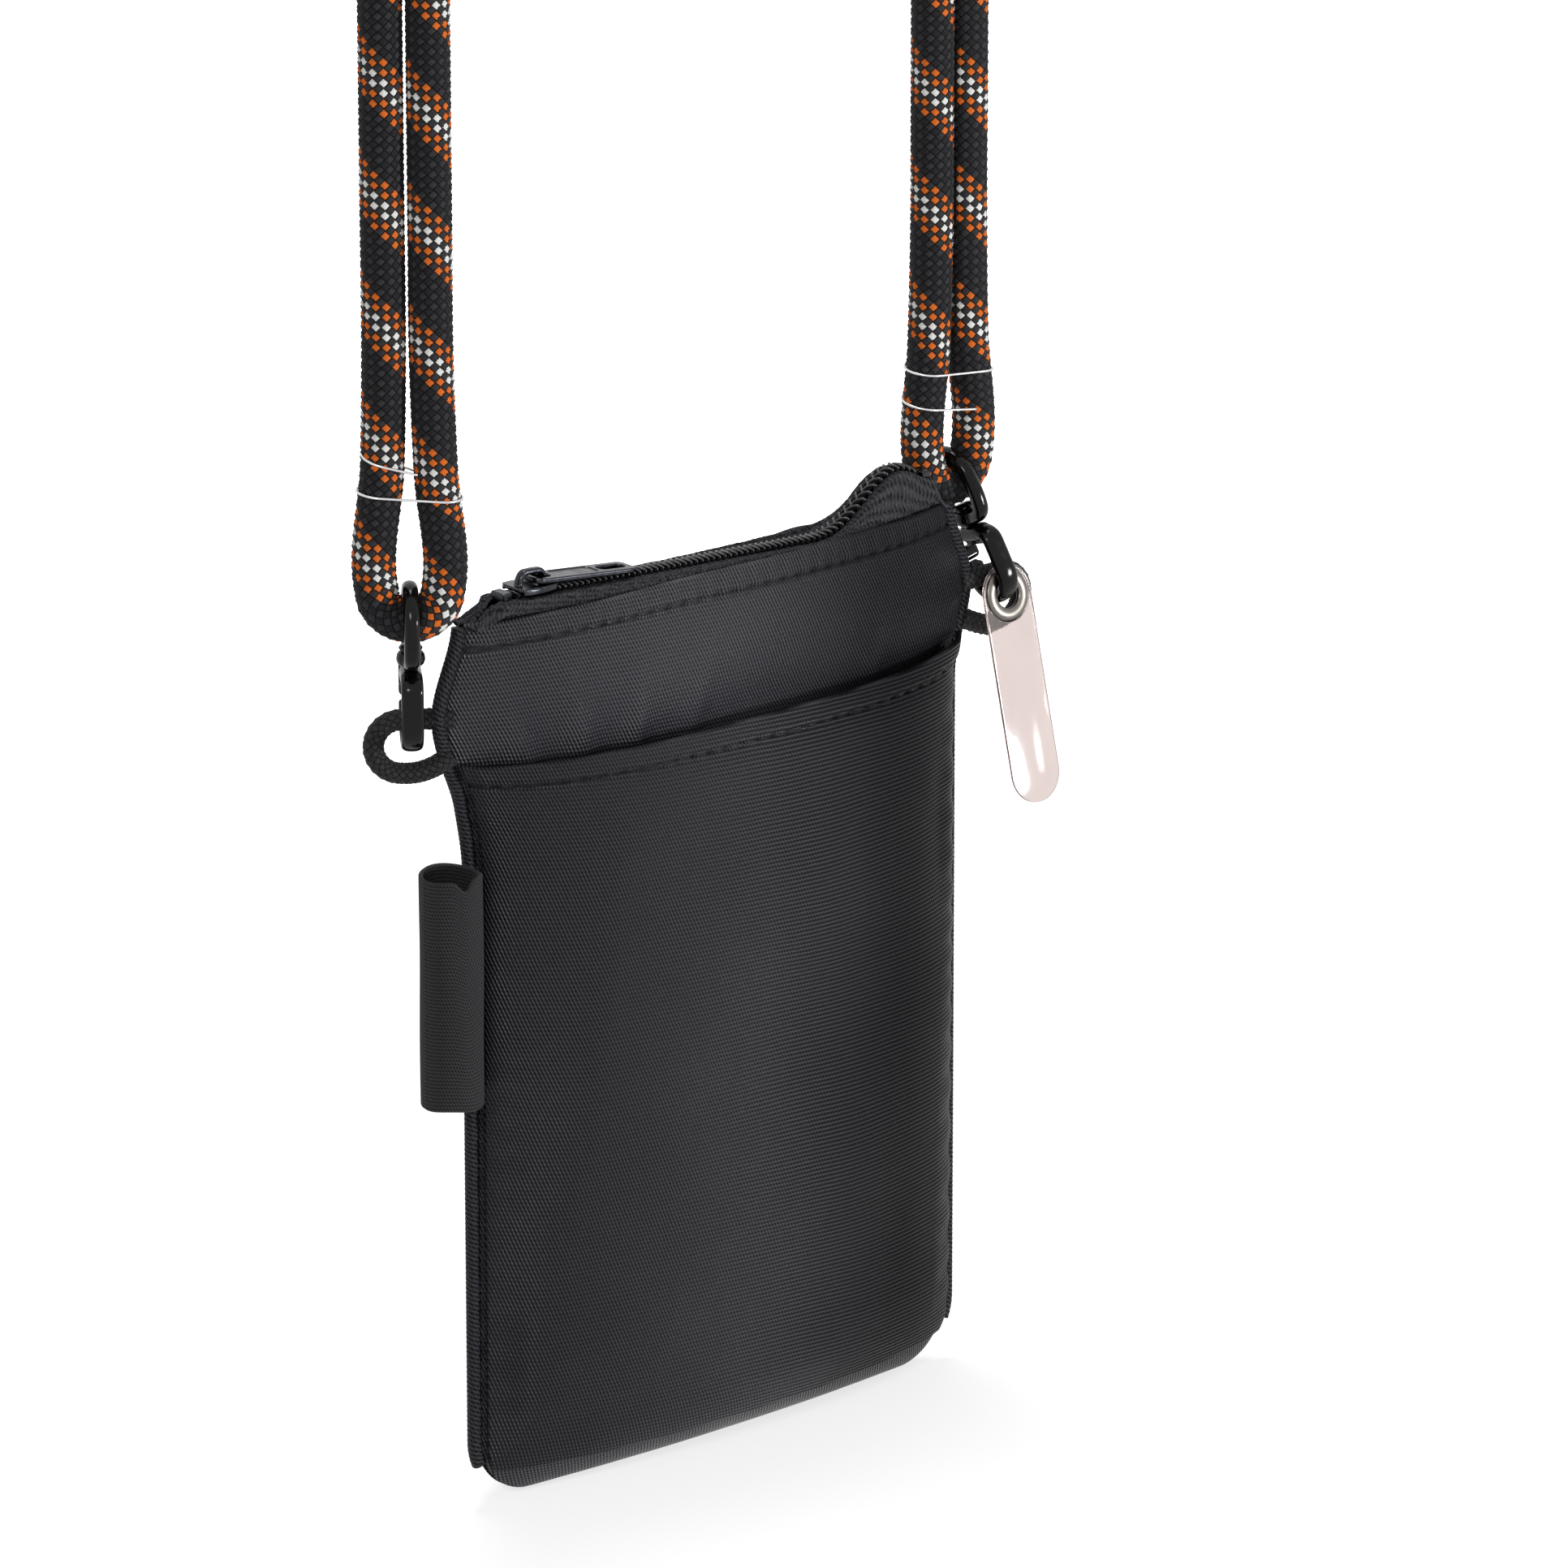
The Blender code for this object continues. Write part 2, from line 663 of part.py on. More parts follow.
def build_loop(side, name):
    root, out = loop_root(side), loop_direction(side)
    start = loop_start(side)
    bend = LOOP_LENGTH - LOOP_CORD / 2 - LOOP_ARC
    low = LOOP_BAND_HEIGHT - BAND_TO_FOOT
    shape = [(start, LOOP_BAND_HEIGHT), (bend / 2, LOOP_BAND_HEIGHT)]
    shape += arc((bend, LOOP_BAND_HEIGHT - LOOP_ARC), LOOP_ARC, 90, -90, 12)
    shape += [(bend / 2, low), (start, low)]
    tube(name, [root + out * d + Vector((0, 0, z)) for d, z in shape], LOOP_CORD, cord_fabric)


# Hooks

MOUTH_HALF = LOOP_CORD / 2 + MOUTH_PLAY
BAR_W = MOUTH_HALF + HOOK_BAR / 2
NOSE_TOP = HOOK_BAR
HEAD_LOW = HOOK_REACH
HEAD_HIGH = HEAD_LOW + HEAD_HEIGHT
BOSS_LOW = HEAD_HIGH + GAP
BOSS_HIGH = BOSS_LOW + EYE_WIRE
RIVET_LOW = BOSS_HIGH + GAP
RIVET_HIGH = RIVET_LOW + RIVET_HEIGHT
ROPE_IN_EYE = RIVET_HIGH + GAP + ROPE / 2
EYE_HALF = ROPE / 2 + GAP + EYE_WIRE / 2
PIN_HEIGHT = NOSE_TOP + GAP + GATE_DROP
BAND_SHIFT_SHARE = 0.85
SHOULDER_SHARES = ((0, 0.5), (0.6, 0.5), (0.93, 0.15))


def hook_frame(side):
    """Places the hook's own axes: X is w, from spine to nose, Y is n, and Z runs along the shank."""
    band = loop_root(side) + loop_direction(side) * (HOOK_PLACE + loop_start(side))
    seat = MOUTH_HALF - LOOP_CORD / 2 - GAP
    if side > 0:
        seat -= LEAN_EASE
    if side < 0:
        shank = Vector((0, 0, 1))
        turn = radians(LEFT_LOOP_TURN_DEG)
        w = Vector((sin(turn), cos(turn), 0))
    else:
        rise = sqrt(ROPE_IN_EYE**2 - RIGHT_LEAN_INWARD**2 - RIGHT_LEAN_BACK**2)
        shank = Vector((-RIGHT_LEAN_INWARD, RIGHT_LEAN_BACK, rise)).normalized()
        turn = radians(RIGHT_HOOK_TURN_DEG)
        w = Vector((sin(turn), cos(turn), 0))
        w = (w - shank * w.dot(shank)).normalized()
    n = shank.cross(w)
    axes = Matrix((w, n, shank)).transposed().to_4x4()
    shift = w * seat * BAND_SHIFT_SHARE
    drop = seat * sqrt(1 - BAND_SHIFT_SHARE**2)
    centre = Vector((band.x, band.y, LOOP_BAND_HEIGHT)) + shank * drop - shift
    return Matrix.Translation(centre) @ axes


def local_points(pairs):
    return [(w, 0, z) for w, z in pairs]


def build_hook(side, tag):
    frame = hook_frame(side)
    spine = [(-BAR_W * a, HEAD_LOW + HEAD_HEIGHT * b) for a, b in SHOULDER_SHARES]
    spine += [(-BAR_W, HEAD_LOW - HOOK_BAR)]
    spine += arc((0, 0), BAR_W, 180, 360, 12)
    spine += [(BAR_W, NOSE_TOP)]
    body = tube_as_mesh("hook_body" + tag, local_points(spine), HOOK_BAR, black_enamel, 2)
    body.data.transform(Matrix.Diagonal((1, HOOK_BAR_DEPTH / HOOK_BAR, 1, 1)))
    half = HOOK_BAR_DEPTH / 2
    head = block(
        "hook_head" + tag,
        (-HEAD_WIDTH / 2, -half, HEAD_LOW),
        (MOUTH_HALF - 3 * GAP, half, HEAD_HIGH),
        black_enamel,
    )
    bevel(head, HEAD_HEIGHT / 5)
    lug_high = PIN_HEIGHT + PIN_RADIUS + HOOK_BAR / 4
    lug = block(
        "hook_lug" + tag,
        (0, -LUG_THICKNESS / 2, HEAD_LOW + GAP),
        (BAR_W + HOOK_BAR / 2, LUG_THICKNESS / 2, max(lug_high, HEAD_LOW + HEAD_HEIGHT / 2)),
        black_enamel,
    )
    foot, top = Vector((0, 0, HEAD_HIGH - HEAD_HEIGHT / 2)), Vector((0, 0, RIVET_HIGH))
    stem = rod("hook_stem" + tag, foot, top - Vector((0, 0, GAP)), STEM_RADIUS, black_enamel, 16)
    rivet = rod("hook_rivet" + tag, (0, 0, RIVET_LOW), top, RIVET_RADIUS, black_enamel, 20)
    bore = rod(
        "pin_bore" + tag,
        (BAR_W, -half - OVERRUN, PIN_HEIGHT),
        (BAR_W, half + OVERRUN, PIN_HEIGHT),
        PIN_RADIUS + PIN_PLAY,
        None,
        16,
    )
    for piece in (head, lug, stem, rivet):
        boolean(body, piece, "UNION")
    boolean(body, bore, "DIFFERENCE")

    straight = EYE_HALF - EYE_CORNER
    base = BOSS_LOW + EYE_WIRE / 2
    ring = arc((straight, base + EYE_CORNER), EYE_CORNER, -90, 0, 3)
    ring += arc((0, ROPE_IN_EYE), EYE_HALF, 0, 180, 14)
    ring += arc((-straight, base + EYE_CORNER), EYE_CORNER, 180, 270, 3)
    eye = tube_as_mesh("hook_eye" + tag, local_points(ring), EYE_WIRE, black_enamel, 3, True)
    boss = rod("eye_boss" + tag, (0, 0, BOSS_LOW), (0, 0, BOSS_HIGH), BOSS_RADIUS, black_enamel, 24)
    hole = rod(
        "eye_bore" + tag,
        (0, 0, BOSS_LOW - OVERRUN),
        (0, 0, BOSS_HIGH + OVERRUN),
        STEM_RADIUS + GAP,
        None,
        16,
    )
    boolean(eye, boss, "UNION")
    boolean(eye, hole, "DIFFERENCE")

    bar_half = HOOK_BAR / 2
    gate = block(
        "hook_gate" + tag,
        (-bar_half, -half, -GATE_DROP),
        (bar_half, half, PIN_RADIUS + HOOK_BAR / 4),
        black_enamel,
    )
    fork = block(
        "gate_fork_cut" + tag,
        (-bar_half - OVERRUN, -LUG_THICKNESS / 2 - GAP, HEAD_LOW - 3 * GAP - PIN_HEIGHT),
        (bar_half + OVERRUN, LUG_THICKNESS / 2 + GAP, HEAD_HEIGHT),
        None,
    )
    across_gate = Vector((0, half + OVERRUN, 0))
    gate_bore = rod("gate_bore" + tag, -across_gate, across_gate, PIN_RADIUS + PIN_PLAY, None, 16)
    boolean(gate, fork, "DIFFERENCE")
    boolean(gate, gate_bore, "DIFFERENCE")
    pin = rod("gate_pin" + tag, (0, -half, 0), (0, half, 0), PIN_RADIUS, steel, 12)
    spring_z = HEAD_LOW - GAP - SPRING_WALL / 2
    leaf = [(-MOUTH_HALF + 2 * GAP, spring_z), (MOUTH_HALF / 3, spring_z)]
    leaf += [(MOUTH_HALF - 4 * GAP, spring_z - SPRING_WALL)]
    spring = tube_as_mesh("gate_spring" + tag, local_points(leaf), SPRING_WALL, steel, 0)
    spring.data.transform(Matrix.Diagonal((1, SPRING_WIDTH / SPRING_WALL, 1, 1)))
    for piece in (body, head, lug, stem, rivet, bore, eye, boss, hole, spring):
        piece.matrix_local = frame
    for piece in (gate, fork, gate_bore, pin):
        piece.matrix_local = frame @ Matrix.Translation((BAR_W, 0, PIN_HEIGHT))


# Rope strap

BIGHT_HALF_WIDTH = (ROPE + EYE_WIRE) / 2 + BIGHT_EASE
PAIR_HALF_WIDTH = ROPE / 2 + PAIR_EASE
KNOT_PITCH = ROPE + KNOT_EASE


def eye_centre(side):
    return hook_frame(side) @ Vector((0, 0, ROPE_IN_EYE))


def pair_direction(side):
    """Level direction from the outer strand to the inner one."""
    if side > 0:
        return Vector((-1, 0, 0))
    turn = radians(LEFT_LOOP_TURN_DEG)
    return Vector((cos(turn), -sin(turn), 0))


def bight_lean(side):
    """How far round the bight the eye hangs: its wire stays square to the rope."""
    pin_axis = hook_frame(side).to_3x3() @ Vector((0, 1, 0))
    return atan2(pin_axis.z, Vector((pin_axis.x, pin_axis.y)).length)


def bight_centre(side):
    lean, outward_x = bight_lean(side), -pair_direction(side)
    shift = outward_x * BIGHT_HALF_WIDTH * sin(abs(lean))
    return eye_centre(side) - shift + Vector((0, 0, BIGHT_HALF_WIDTH * cos(lean)))


def strand_offset(over_bight):
    t = (over_bight - BIGHT_OPEN_UNTIL) / (PAIR_CLOSED_FROM - BIGHT_OPEN_UNTIL)
    return mix(BIGHT_HALF_WIDTH, PAIR_HALF_WIDTH, smooth(t))


def strand(side, which, low, high, count):
    """A strand's points upward from low to high; which is -1 outer, +1 inner."""
    centre, along = bight_centre(side), pair_direction(side)
    points = []
    for i in range(count + 1):
        z = mix(low, high, i / count)
        spread = along * which * strand_offset(z - centre.z)
        points.append(Vector((centre.x, centre.y, z)) + spread)
    return points


def bight(side):
    """Round the eye's wire, from the inner strand's foot to the outer strand's foot."""
    centre, along = bight_centre(side), pair_direction(side)
    shape = arc((0, centre.z), BIGHT_HALF_WIDTH, 0, -180, 8)
    return [Vector((centre.x, centre.y, z)) + along * d for d, z in shape]


def rope_points():
    """From the left knot round the left eye, over the arch, round the right eye to the right knot."""
    low_left, low_right = bight_centre(-1).z, bight_centre(1).z
    count = max(round((KNOT_HEIGHT - low_left) / ROPE_STEP), 2)
    knot_half = (KNOT_TURNS * KNOT_PITCH + ROPE) / 2
    top = KNOT_HEIGHT + knot_half
    end = KNOT_HEIGHT + knot_half / 2
    points = strand(-1, 1, low_left, end, count)[::-1]
    points += bight(-1)[1:]
    points += strand(-1, -1, low_left, top, count)[1:]
    start, finish = points[-1], strand(1, -1, low_right, top, count)[-1]
    middle = (start + finish) / 2
    half = (finish - start).length / 2
    across = (finish - start).normalized()
    crest = HANG_HEIGHT + ROPE / 2
    shoulder = crest - half
    for i in range(17):
        turn = pi * i / 16
        spot = middle * (1 - sin(turn)) - across * half * cos(turn)
        points.append(Vector((spot.x, spot.y, shoulder + half * sin(turn))))
    points += strand(1, -1, low_right, top, count)[::-1]
    points += bight(1)[::-1][1:]
    points += strand(1, 1, low_right, end, count)[1:]
    return points


def oval_winding(side, height, turns, pitch, wire, per_turn):
    """A winding round both strands of one side."""
    centre, along = bight_centre(side), pair_direction(side)
    across = Vector((-along.y, along.x, 0))
    spread = strand_offset(height - pitch * turns / 2 - wire - centre.z)
    wide = spread + ROPE / 2 + GAP + wire / 2
    deep = ROPE / 2 + GAP + wire / 2
    flat = wide - deep
    around = 2 * pi * deep + 4 * flat
    points = []
    for i in range(turns * per_turn + 1):
        s = (i / per_turn) % 1.0 * around
        quarter = pi * deep / 2
        if s < quarter:
            d, c = flat + deep * cos(s / deep), deep * sin(s / deep)
        elif s < quarter + 2 * flat:
            d, c = flat - (s - quarter), deep
        elif s < 3 * quarter + 2 * flat:
            t = (s - quarter - 2 * flat) / deep
            d, c = -flat - deep * sin(t), deep * cos(t)
        elif s < 3 * quarter + 4 * flat:
            d, c = -flat + (s - 3 * quarter - 2 * flat), -deep
        else:
            t = (s - 3 * quarter - 4 * flat) / deep
            d, c = flat + deep * sin(t), -deep * cos(t)
        z = height + pitch * (i / per_turn - turns / 2)
        points.append(Vector((centre.x, centre.y, z)) + along * d + across * c)
    return points


def least_gap(points, wire):
    """The least gap between a winding's turns, measured on its points."""
    skip = 12
    near = min(
        (points[i] - points[j]).length for i in range(len(points)) for j in range(i + skip, len(points))
    )
    return near - wire


def build_strap():
    tube("rope_strap", rope_points(), ROPE, rope_fabric)
    for side, tag in ((-1, "_left"), (1, "_right")):
        knot = oval_winding(side, KNOT_HEIGHT, KNOT_TURNS, KNOT_PITCH, ROPE, 24)
        print("sliding_knot" + tag, "least gap", round(least_gap(knot, ROPE), 5))
        tube("sliding_knot" + tag, knot, ROPE, rope_fabric, 1)
        height = bight_centre(side).z + TIE_HEIGHT_ABOVE_BIGHT
        tie = oval_winding(side, height, TIE_TURNS, TIE_PITCH, TIE_WIRE, 18)
        tube("tie_wire" + tag, tie, TIE_WIRE, steel, 1)


# Elastic pen loop


def build_pen_loop():
    radius = (PEN_LOOP_WIDTH - PEN_LOOP_WALL) / 2
    outer = PEN_LOOP_WIDTH / 2
    middle = (PEN_LOOP_BOTTOM + PEN_LOOP_TOP) / 2
    reach = max(seam_side(PEN_LOOP_BOTTOM), seam_side(PEN_LOOP_TOP), seam_side(middle))
    beside = sqrt((outer + GAP) ** 2 - PEN_LOOP_FORWARD**2)
    centre = Vector((-reach - beside, -PEN_LOOP_FORWARD, 0))

    def surface(u, v):
        turn = pi * u
        z = mix(PEN_LOOP_BOTTOM, PEN_LOOP_TOP, v)
        return centre + Vector((radius * cos(turn), radius * sin(turn), z))

    sheet("pen_loop", surface, 24, 2, PEN_LOOP_WALL, elastic, True)


# Clear tether tab


def build_tether():
    along = -TAB_PLACE_SHARE * BAR_W
    wire = hook_frame(1) @ Vector((along, 0, -sqrt(BAR_W**2 - along**2)))
    lean = Matrix.Rotation(-radians(TAB_LEAN_DEG), 4, "X")
    place = Matrix.Translation(wire) @ lean @ Matrix.Translation((0, 0, -EYELET_DROP))
    flat = Matrix.Rotation(radians(90), 4, "X")
    outer, hole = EYELET_OUTER / 2, EYELET_HOLE / 2
    eyelet = ring("tether_eyelet", hole, outer, EYELET_THICKNESS, silver)
    tab = rounded_strip("tether_tab", clear_plastic)
    cut = rod("tab_eyelet_cut", (0, 0, -OVERRUN), (0, 0, OVERRUN), outer + GAP, None, 32)
    boolean(tab, cut, "DIFFERENCE")
    for piece in (eyelet, tab, cut):
        piece.matrix_local = place @ flat


def ring(name, hole, outer, thick, mat):
    """A flat ring with rounded rims, lying in XY."""
    profile_half = thick / 2
    bm = bmesh.new()
    middle, reach = (hole + outer) / 2, (outer - hole) / 2
    shares = ((-1, -0.4), (-0.7, -1), (0.7, -1), (1, -0.4), (1, 0.4), (0.7, 1), (-0.7, 1), (-1, 0.4))
    corners = [bm.verts.new((middle + reach * a, 0, profile_half * b)) for a, b in shares]
    for i, corner in enumerate(corners):
        bm.edges.new((corner, corners[(i + 1) % len(corners)]))
    obj = add_mesh(name, bm, mat)
    turned = obj.modifiers.new("turned", "SCREW")
    turned.steps = turned.render_steps = 28
    turned.use_merge_vertices = True
    turned.merge_threshold = MERGE
    turned.use_normal_calculate = True
    return obj


def rounded_strip(name, mat):
    """A flat strip with round ends in XY, its eyelet's centre at zero and its length down Y."""
    radius = TAB_WIDTH / 2
    curve = bpy.data.curves.new(name, "CURVE")
    curve.dimensions = "2D"
    curve.fill_mode = "BOTH"
    curve.extrude = TAB_WALL / 2
    outline = arc((0, 0), radius, 0, 180, 14)
    outline += arc((0, -TAB_LENGTH + TAB_WIDTH), radius, 180, 360, 14)
    line = curve.splines.new("POLY")
    line.points.add(len(outline) - 1)
    for spot, point in zip(line.points, outline):
        spot.co = (*point, 0, 1)
    line.use_cyclic_u = True
    obj = bpy.data.objects.new(name + "_outline", curve)
    parts.objects.link(obj)
    bpy.context.view_layer.update()
    graph = bpy.context.evaluated_depsgraph_get()
    mesh = bpy.data.meshes.new_from_object(obj.evaluated_get(graph))
    bm = bmesh.new()
    bm.from_mesh(mesh)
    bmesh.ops.remove_doubles(bm, verts=bm.verts, dist=MERGE)
    bpy.data.objects.remove(obj, do_unlink=True)
    bpy.data.meshes.remove(mesh)
    return add_mesh(name, bm, mat)


build_pouch()
build_lining()
build_binding(-1, "side_binding_left")
build_binding(1, "side_binding_right")
build_zip()
build_loop(-1, "cord_loop_left")
build_loop(1, "cord_loop_right")
build_pen_loop()
for sewn in list(parts.objects):
    if sewn.type != "EMPTY":
        sewn.parent = pouch_swing
        sewn.location.z -= LOOP_BAND_HEIGHT
build_slider()
build_pull()
build_hook(-1, "_left")
build_hook(1, "_right")
build_strap()
build_tether()
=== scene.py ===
# The looks of a crossbody pouch on a doubled braided rope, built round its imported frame.
# Every piece is modelled in the pouch's own frame: zero is the middle of its bottom seam.
from math import atan2, cos, pi, radians, sin, sqrt

import bmesh
import bpy
import numpy as np
from mathutils import Matrix, Vector


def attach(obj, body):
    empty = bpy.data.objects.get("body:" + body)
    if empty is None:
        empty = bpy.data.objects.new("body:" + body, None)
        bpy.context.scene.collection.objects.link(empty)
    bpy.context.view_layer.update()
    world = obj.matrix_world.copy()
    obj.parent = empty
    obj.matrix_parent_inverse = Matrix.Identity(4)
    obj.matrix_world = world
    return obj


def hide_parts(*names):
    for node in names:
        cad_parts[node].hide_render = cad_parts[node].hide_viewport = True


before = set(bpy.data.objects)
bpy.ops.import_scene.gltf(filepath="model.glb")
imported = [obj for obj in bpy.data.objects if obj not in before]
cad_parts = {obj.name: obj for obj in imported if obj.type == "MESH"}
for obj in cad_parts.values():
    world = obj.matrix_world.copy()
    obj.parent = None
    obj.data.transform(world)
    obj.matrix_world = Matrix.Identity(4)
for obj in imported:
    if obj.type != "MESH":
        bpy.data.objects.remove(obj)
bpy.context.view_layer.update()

mm = 0.001
hangHeight = 0.440       # the carried point over the bottom seam
leftRight = ((-1, "Left"), (1, "Right"))


# Small helpers

def smooth(t):
    t = np.clip(t, 0.0, 1.0)
    return t * t * (3 - 2 * t)


def mix(a, b, t):
    return a + (b - a) * t


def bell(distance, width):
    return np.exp(-(distance / width) ** 2)


def arc(centre, radius, turns):
    # Places on a circle at these turns, in degrees.
    return [(centre[0] + radius * cos(radians(t)), centre[1] + radius * sin(radians(t))) for t in turns]


def toLinear(hexColour):
    parts = [int(hexColour[i:i + 2], 16) / 255 for i in (1, 3, 5)]
    return tuple(c / 12.92 if c <= 0.04045 else ((c + 0.055) / 1.055) ** 2.4 for c in parts) + (1.0,)


soft = {"interpolation_type": "SMOOTHSTEP"}
rgba = {"data_type": "RGBA"}


def addNode(tree, kind, links=None, **settings):
    # links: socket name or number -> a value, an output socket, or a node for its first output
    node = tree.nodes.new("ShaderNode" + kind)
    for key, value in settings.items():
        setattr(node, key, value)
    for key, value in (links or {}).items():
        if isinstance(value, bpy.types.Node):
            value = value.outputs[0]
        if isinstance(value, bpy.types.NodeSocket):
            tree.links.new(value, node.inputs[key])
        else:
            node.inputs[key].default_value = value
    return node


def newMaterial(name):
    made = bpy.data.materials.new(name)
    made.use_nodes = True
    made.node_tree.nodes.clear()
    return made, made.node_tree


def finishMaterial(tree, shader):
    addNode(tree, "OutputMaterial", {"Surface": shader})


def setStops(ramp, stops):
    # stops: (place, hex colour)
    while len(ramp.elements) > 1:
        ramp.elements.remove(ramp.elements[-1])
    ramp.elements[0].position, ramp.elements[0].color = stops[0][0], toLinear(stops[0][1])
    for place, colour in stops[1:]:
        ramp.elements.new(place).color = toLinear(colour)


def newObject(name, data):
    obj = bpy.data.objects.new(name, data)
    bpy.context.scene.collection.objects.link(obj)
    return obj


def addPiece(name, points, faces, material, body, nodes=(), threads=None, matrix=None):
    # threads: one (u, v) per point, or per face corner, in the unit that its material reads
    points = np.asarray(points, float)
    if matrix is not None:
        turn = np.array(matrix)
        points = points @ turn[:3, :3].T + turn[:3, 3]
    points = points - np.array([0, 0, hangHeight])
    mesh = bpy.data.meshes.new(name)
    mesh.from_pydata(points.tolist(), [], [tuple(f) for f in np.asarray(faces, object).tolist()])
    mesh.shade_smooth()
    if threads is not None:
        threads = np.asarray(threads, float)
        corners = np.empty(len(mesh.loops), np.int64)
        mesh.loops.foreach_get("vertex_index", corners)
        values = threads if len(threads) == len(corners) else threads[corners]
        layer = mesh.uv_layers.new(name="threads")
        layer.data.foreach_set("uv", values.astype(np.float32).ravel())
    mesh.validate()
    obj = newObject(name, mesh)
    mesh.materials.append(material)
    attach(obj, body)
    if nodes:
        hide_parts(*nodes)
    return obj


def coatNode(name, material):
    # A carried-over CAD node gets its procedural material.
    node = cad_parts[name]
    node.data.materials.clear()
    node.data.materials.append(material)


def gridFaces(rows, cols, wrap=False, start=0):
    r, c = np.meshgrid(np.arange(rows - 1), np.arange(cols if wrap else cols - 1), indexing="ij")
    after = (c + 1) % cols
    quads = np.stack([r * cols + c, r * cols + after, (r + 1) * cols + after, (r + 1) * cols + c], -1)
    return quads.reshape(-1, 4) + start


def gridNormals(grid, wrap=False):
    if wrap:
        wide = np.concatenate([grid[:, -1:], grid, grid[:, :1]], 1)
        across = (wide[:, 2:] - wide[:, :-2])
    else:
        across = np.gradient(grid, axis=1)
    up = np.gradient(grid, axis=0)
    normal = np.cross(across, up)
    return normal / np.maximum(np.linalg.norm(normal, axis=-1, keepdims=True), 1e-12)


def arcLengths(grid, axis):
    steps = np.linalg.norm(np.diff(grid, axis=axis), axis=-1)
    zero = np.zeros_like(np.take(steps, [0], axis=axis))
    return np.concatenate([zero, np.cumsum(steps, axis=axis)], axis=axis)


def clothSheet(centre, wall, wrap=False, middleU=True):
    # A closed sheet of cloth with rounded rims round a grid of points (rows up, columns across).
    # Returns points, faces and threads: the arc length across and up, in metres.
    bulge = 0.4          # of a cut edge, in walls
    rows, cols = centre.shape[:2]
    normal = gridNormals(centre, wrap)
    wall = np.broadcast_to(wall, (rows, cols))[..., None]
    u, v = arcLengths(centre, 1), arcLengths(centre, 0)
    if middleU:
        u = u - u[:, -1:] / 2
    v = np.broadcast_to(v.mean(1, keepdims=True), u.shape)
    flat = np.stack([u, v], -1)
    sides = [centre + normal * wall / 2, centre - normal * wall / 2]
    count = rows * cols
    points = [s.reshape(-1, 3) for s in sides]
    threads = [flat.reshape(-1, 2)] * 2
    faces = [gridFaces(rows, cols, wrap), gridFaces(rows, cols, wrap, count)[:, ::-1]]
    index = np.arange(count).reshape(rows, cols)
    if wrap:
        rims = [(index[0], centre[0] - centre[1]), (index[-1][::-1], (centre[-1] - centre[-2])[::-1])]
    else:
        ring = np.concatenate([index[0], index[1:, -1], index[-1, -2::-1], index[-2:0:-1, 0]])
        out = np.zeros_like(centre)
        out[0] += centre[0] - centre[1]
        out[-1] += centre[-1] - centre[-2]
        out[:, 0] += centre[:, 0] - centre[:, 1]
        out[:, -1] += centre[:, -1] - centre[:, -2]
        rims = [(ring, out.reshape(-1, 3)[ring])]
    base = 2 * count
    for ring, out in rims:
        away = out / np.maximum(np.linalg.norm(out, axis=-1, keepdims=True), 1e-12)
        points.append(centre.reshape(-1, 3)[ring] + away * wall.reshape(-1, 1)[ring] * bulge)
        threads.append(flat.reshape(-1, 2)[ring])
        n = len(ring)
        here = base + np.arange(n)
        after, ringAfter = np.roll(here, -1), np.roll(ring, -1)
        faces.append(np.stack([ringAfter, ring, here, after], -1))
        faces.append(np.stack([ring + count, ringAfter + count, after, here], -1))
        base += n
    return np.concatenate(points), np.concatenate(faces), np.concatenate(threads)


def smoothLine(points, step, closed=False):
    # A smooth line through unevenly spaced points, laid out again at even steps.
    p = np.array([tuple(q) for q in points], float)
    if closed:
        q = np.concatenate([p[-1:], p, p[:2]])
    else:
        q = np.concatenate([2 * p[:1] - p[1:2], p, 2 * p[-1:] - p[-2:-1]])
    chord = np.linalg.norm(np.diff(q, axis=0), axis=1)[:, None]
    slope = np.diff(q, axis=0) / chord
    tangent = (slope[:-1] * chord[1:] + slope[1:] * chord[:-1]) / (chord[1:] + chord[:-1])
    fine = []
    for i in range(1, len(q) - 2):
        t = np.linspace(0, 1, max(int(chord[i, 0] / (step * 0.4)), 6), endpoint=False)[:, None]
        start, end = tangent[i - 1] * chord[i], tangent[i] * chord[i]
        fine.append(q[i] * (2 * t**3 - 3 * t**2 + 1) + start * (t**3 - 2 * t**2 + t)
                    + q[i + 1] * (3 * t**2 - 2 * t**3) + end * (t**3 - t**2))
    fine = np.concatenate(fine + [q[-2:-1]])
    along = np.concatenate([[0], np.cumsum(np.linalg.norm(np.diff(fine, axis=0), axis=1))])
    count = max(int(round(along[-1] / step)), 4)
    at = np.linspace(0, along[-1], count + 1)
    return np.stack([np.interp(at, along, fine[:, k]) for k in range(3)], -1), along[-1]


def framesAlong(line, closed=False, side=None):
    # Tangents and two crossways directions that don't spin about the line.
    if closed:
        tangent = np.roll(line, -1, 0) - np.roll(line, 1, 0)
    else:
        tangent = np.gradient(line, axis=0)
    tangent /= np.linalg.norm(tangent, axis=1, keepdims=True)
    if side is not None:
        first = np.broadcast_to(np.array(side, float), tangent.shape)
        first = first - tangent * (first * tangent).sum(1, keepdims=True)
        first = first / np.linalg.norm(first, axis=1, keepdims=True)
        return tangent, first, np.cross(tangent, first)
    start = np.cross(tangent[0], (0, 1, 0.1))
    first = np.zeros_like(tangent)
    first[0] = start / np.linalg.norm(start)
    for i in range(1, len(line)):
        moved = first[i - 1] - tangent[i] * (first[i - 1] @ tangent[i])
        first[i] = moved / np.linalg.norm(moved)
    return tangent, first, np.cross(tangent, first)


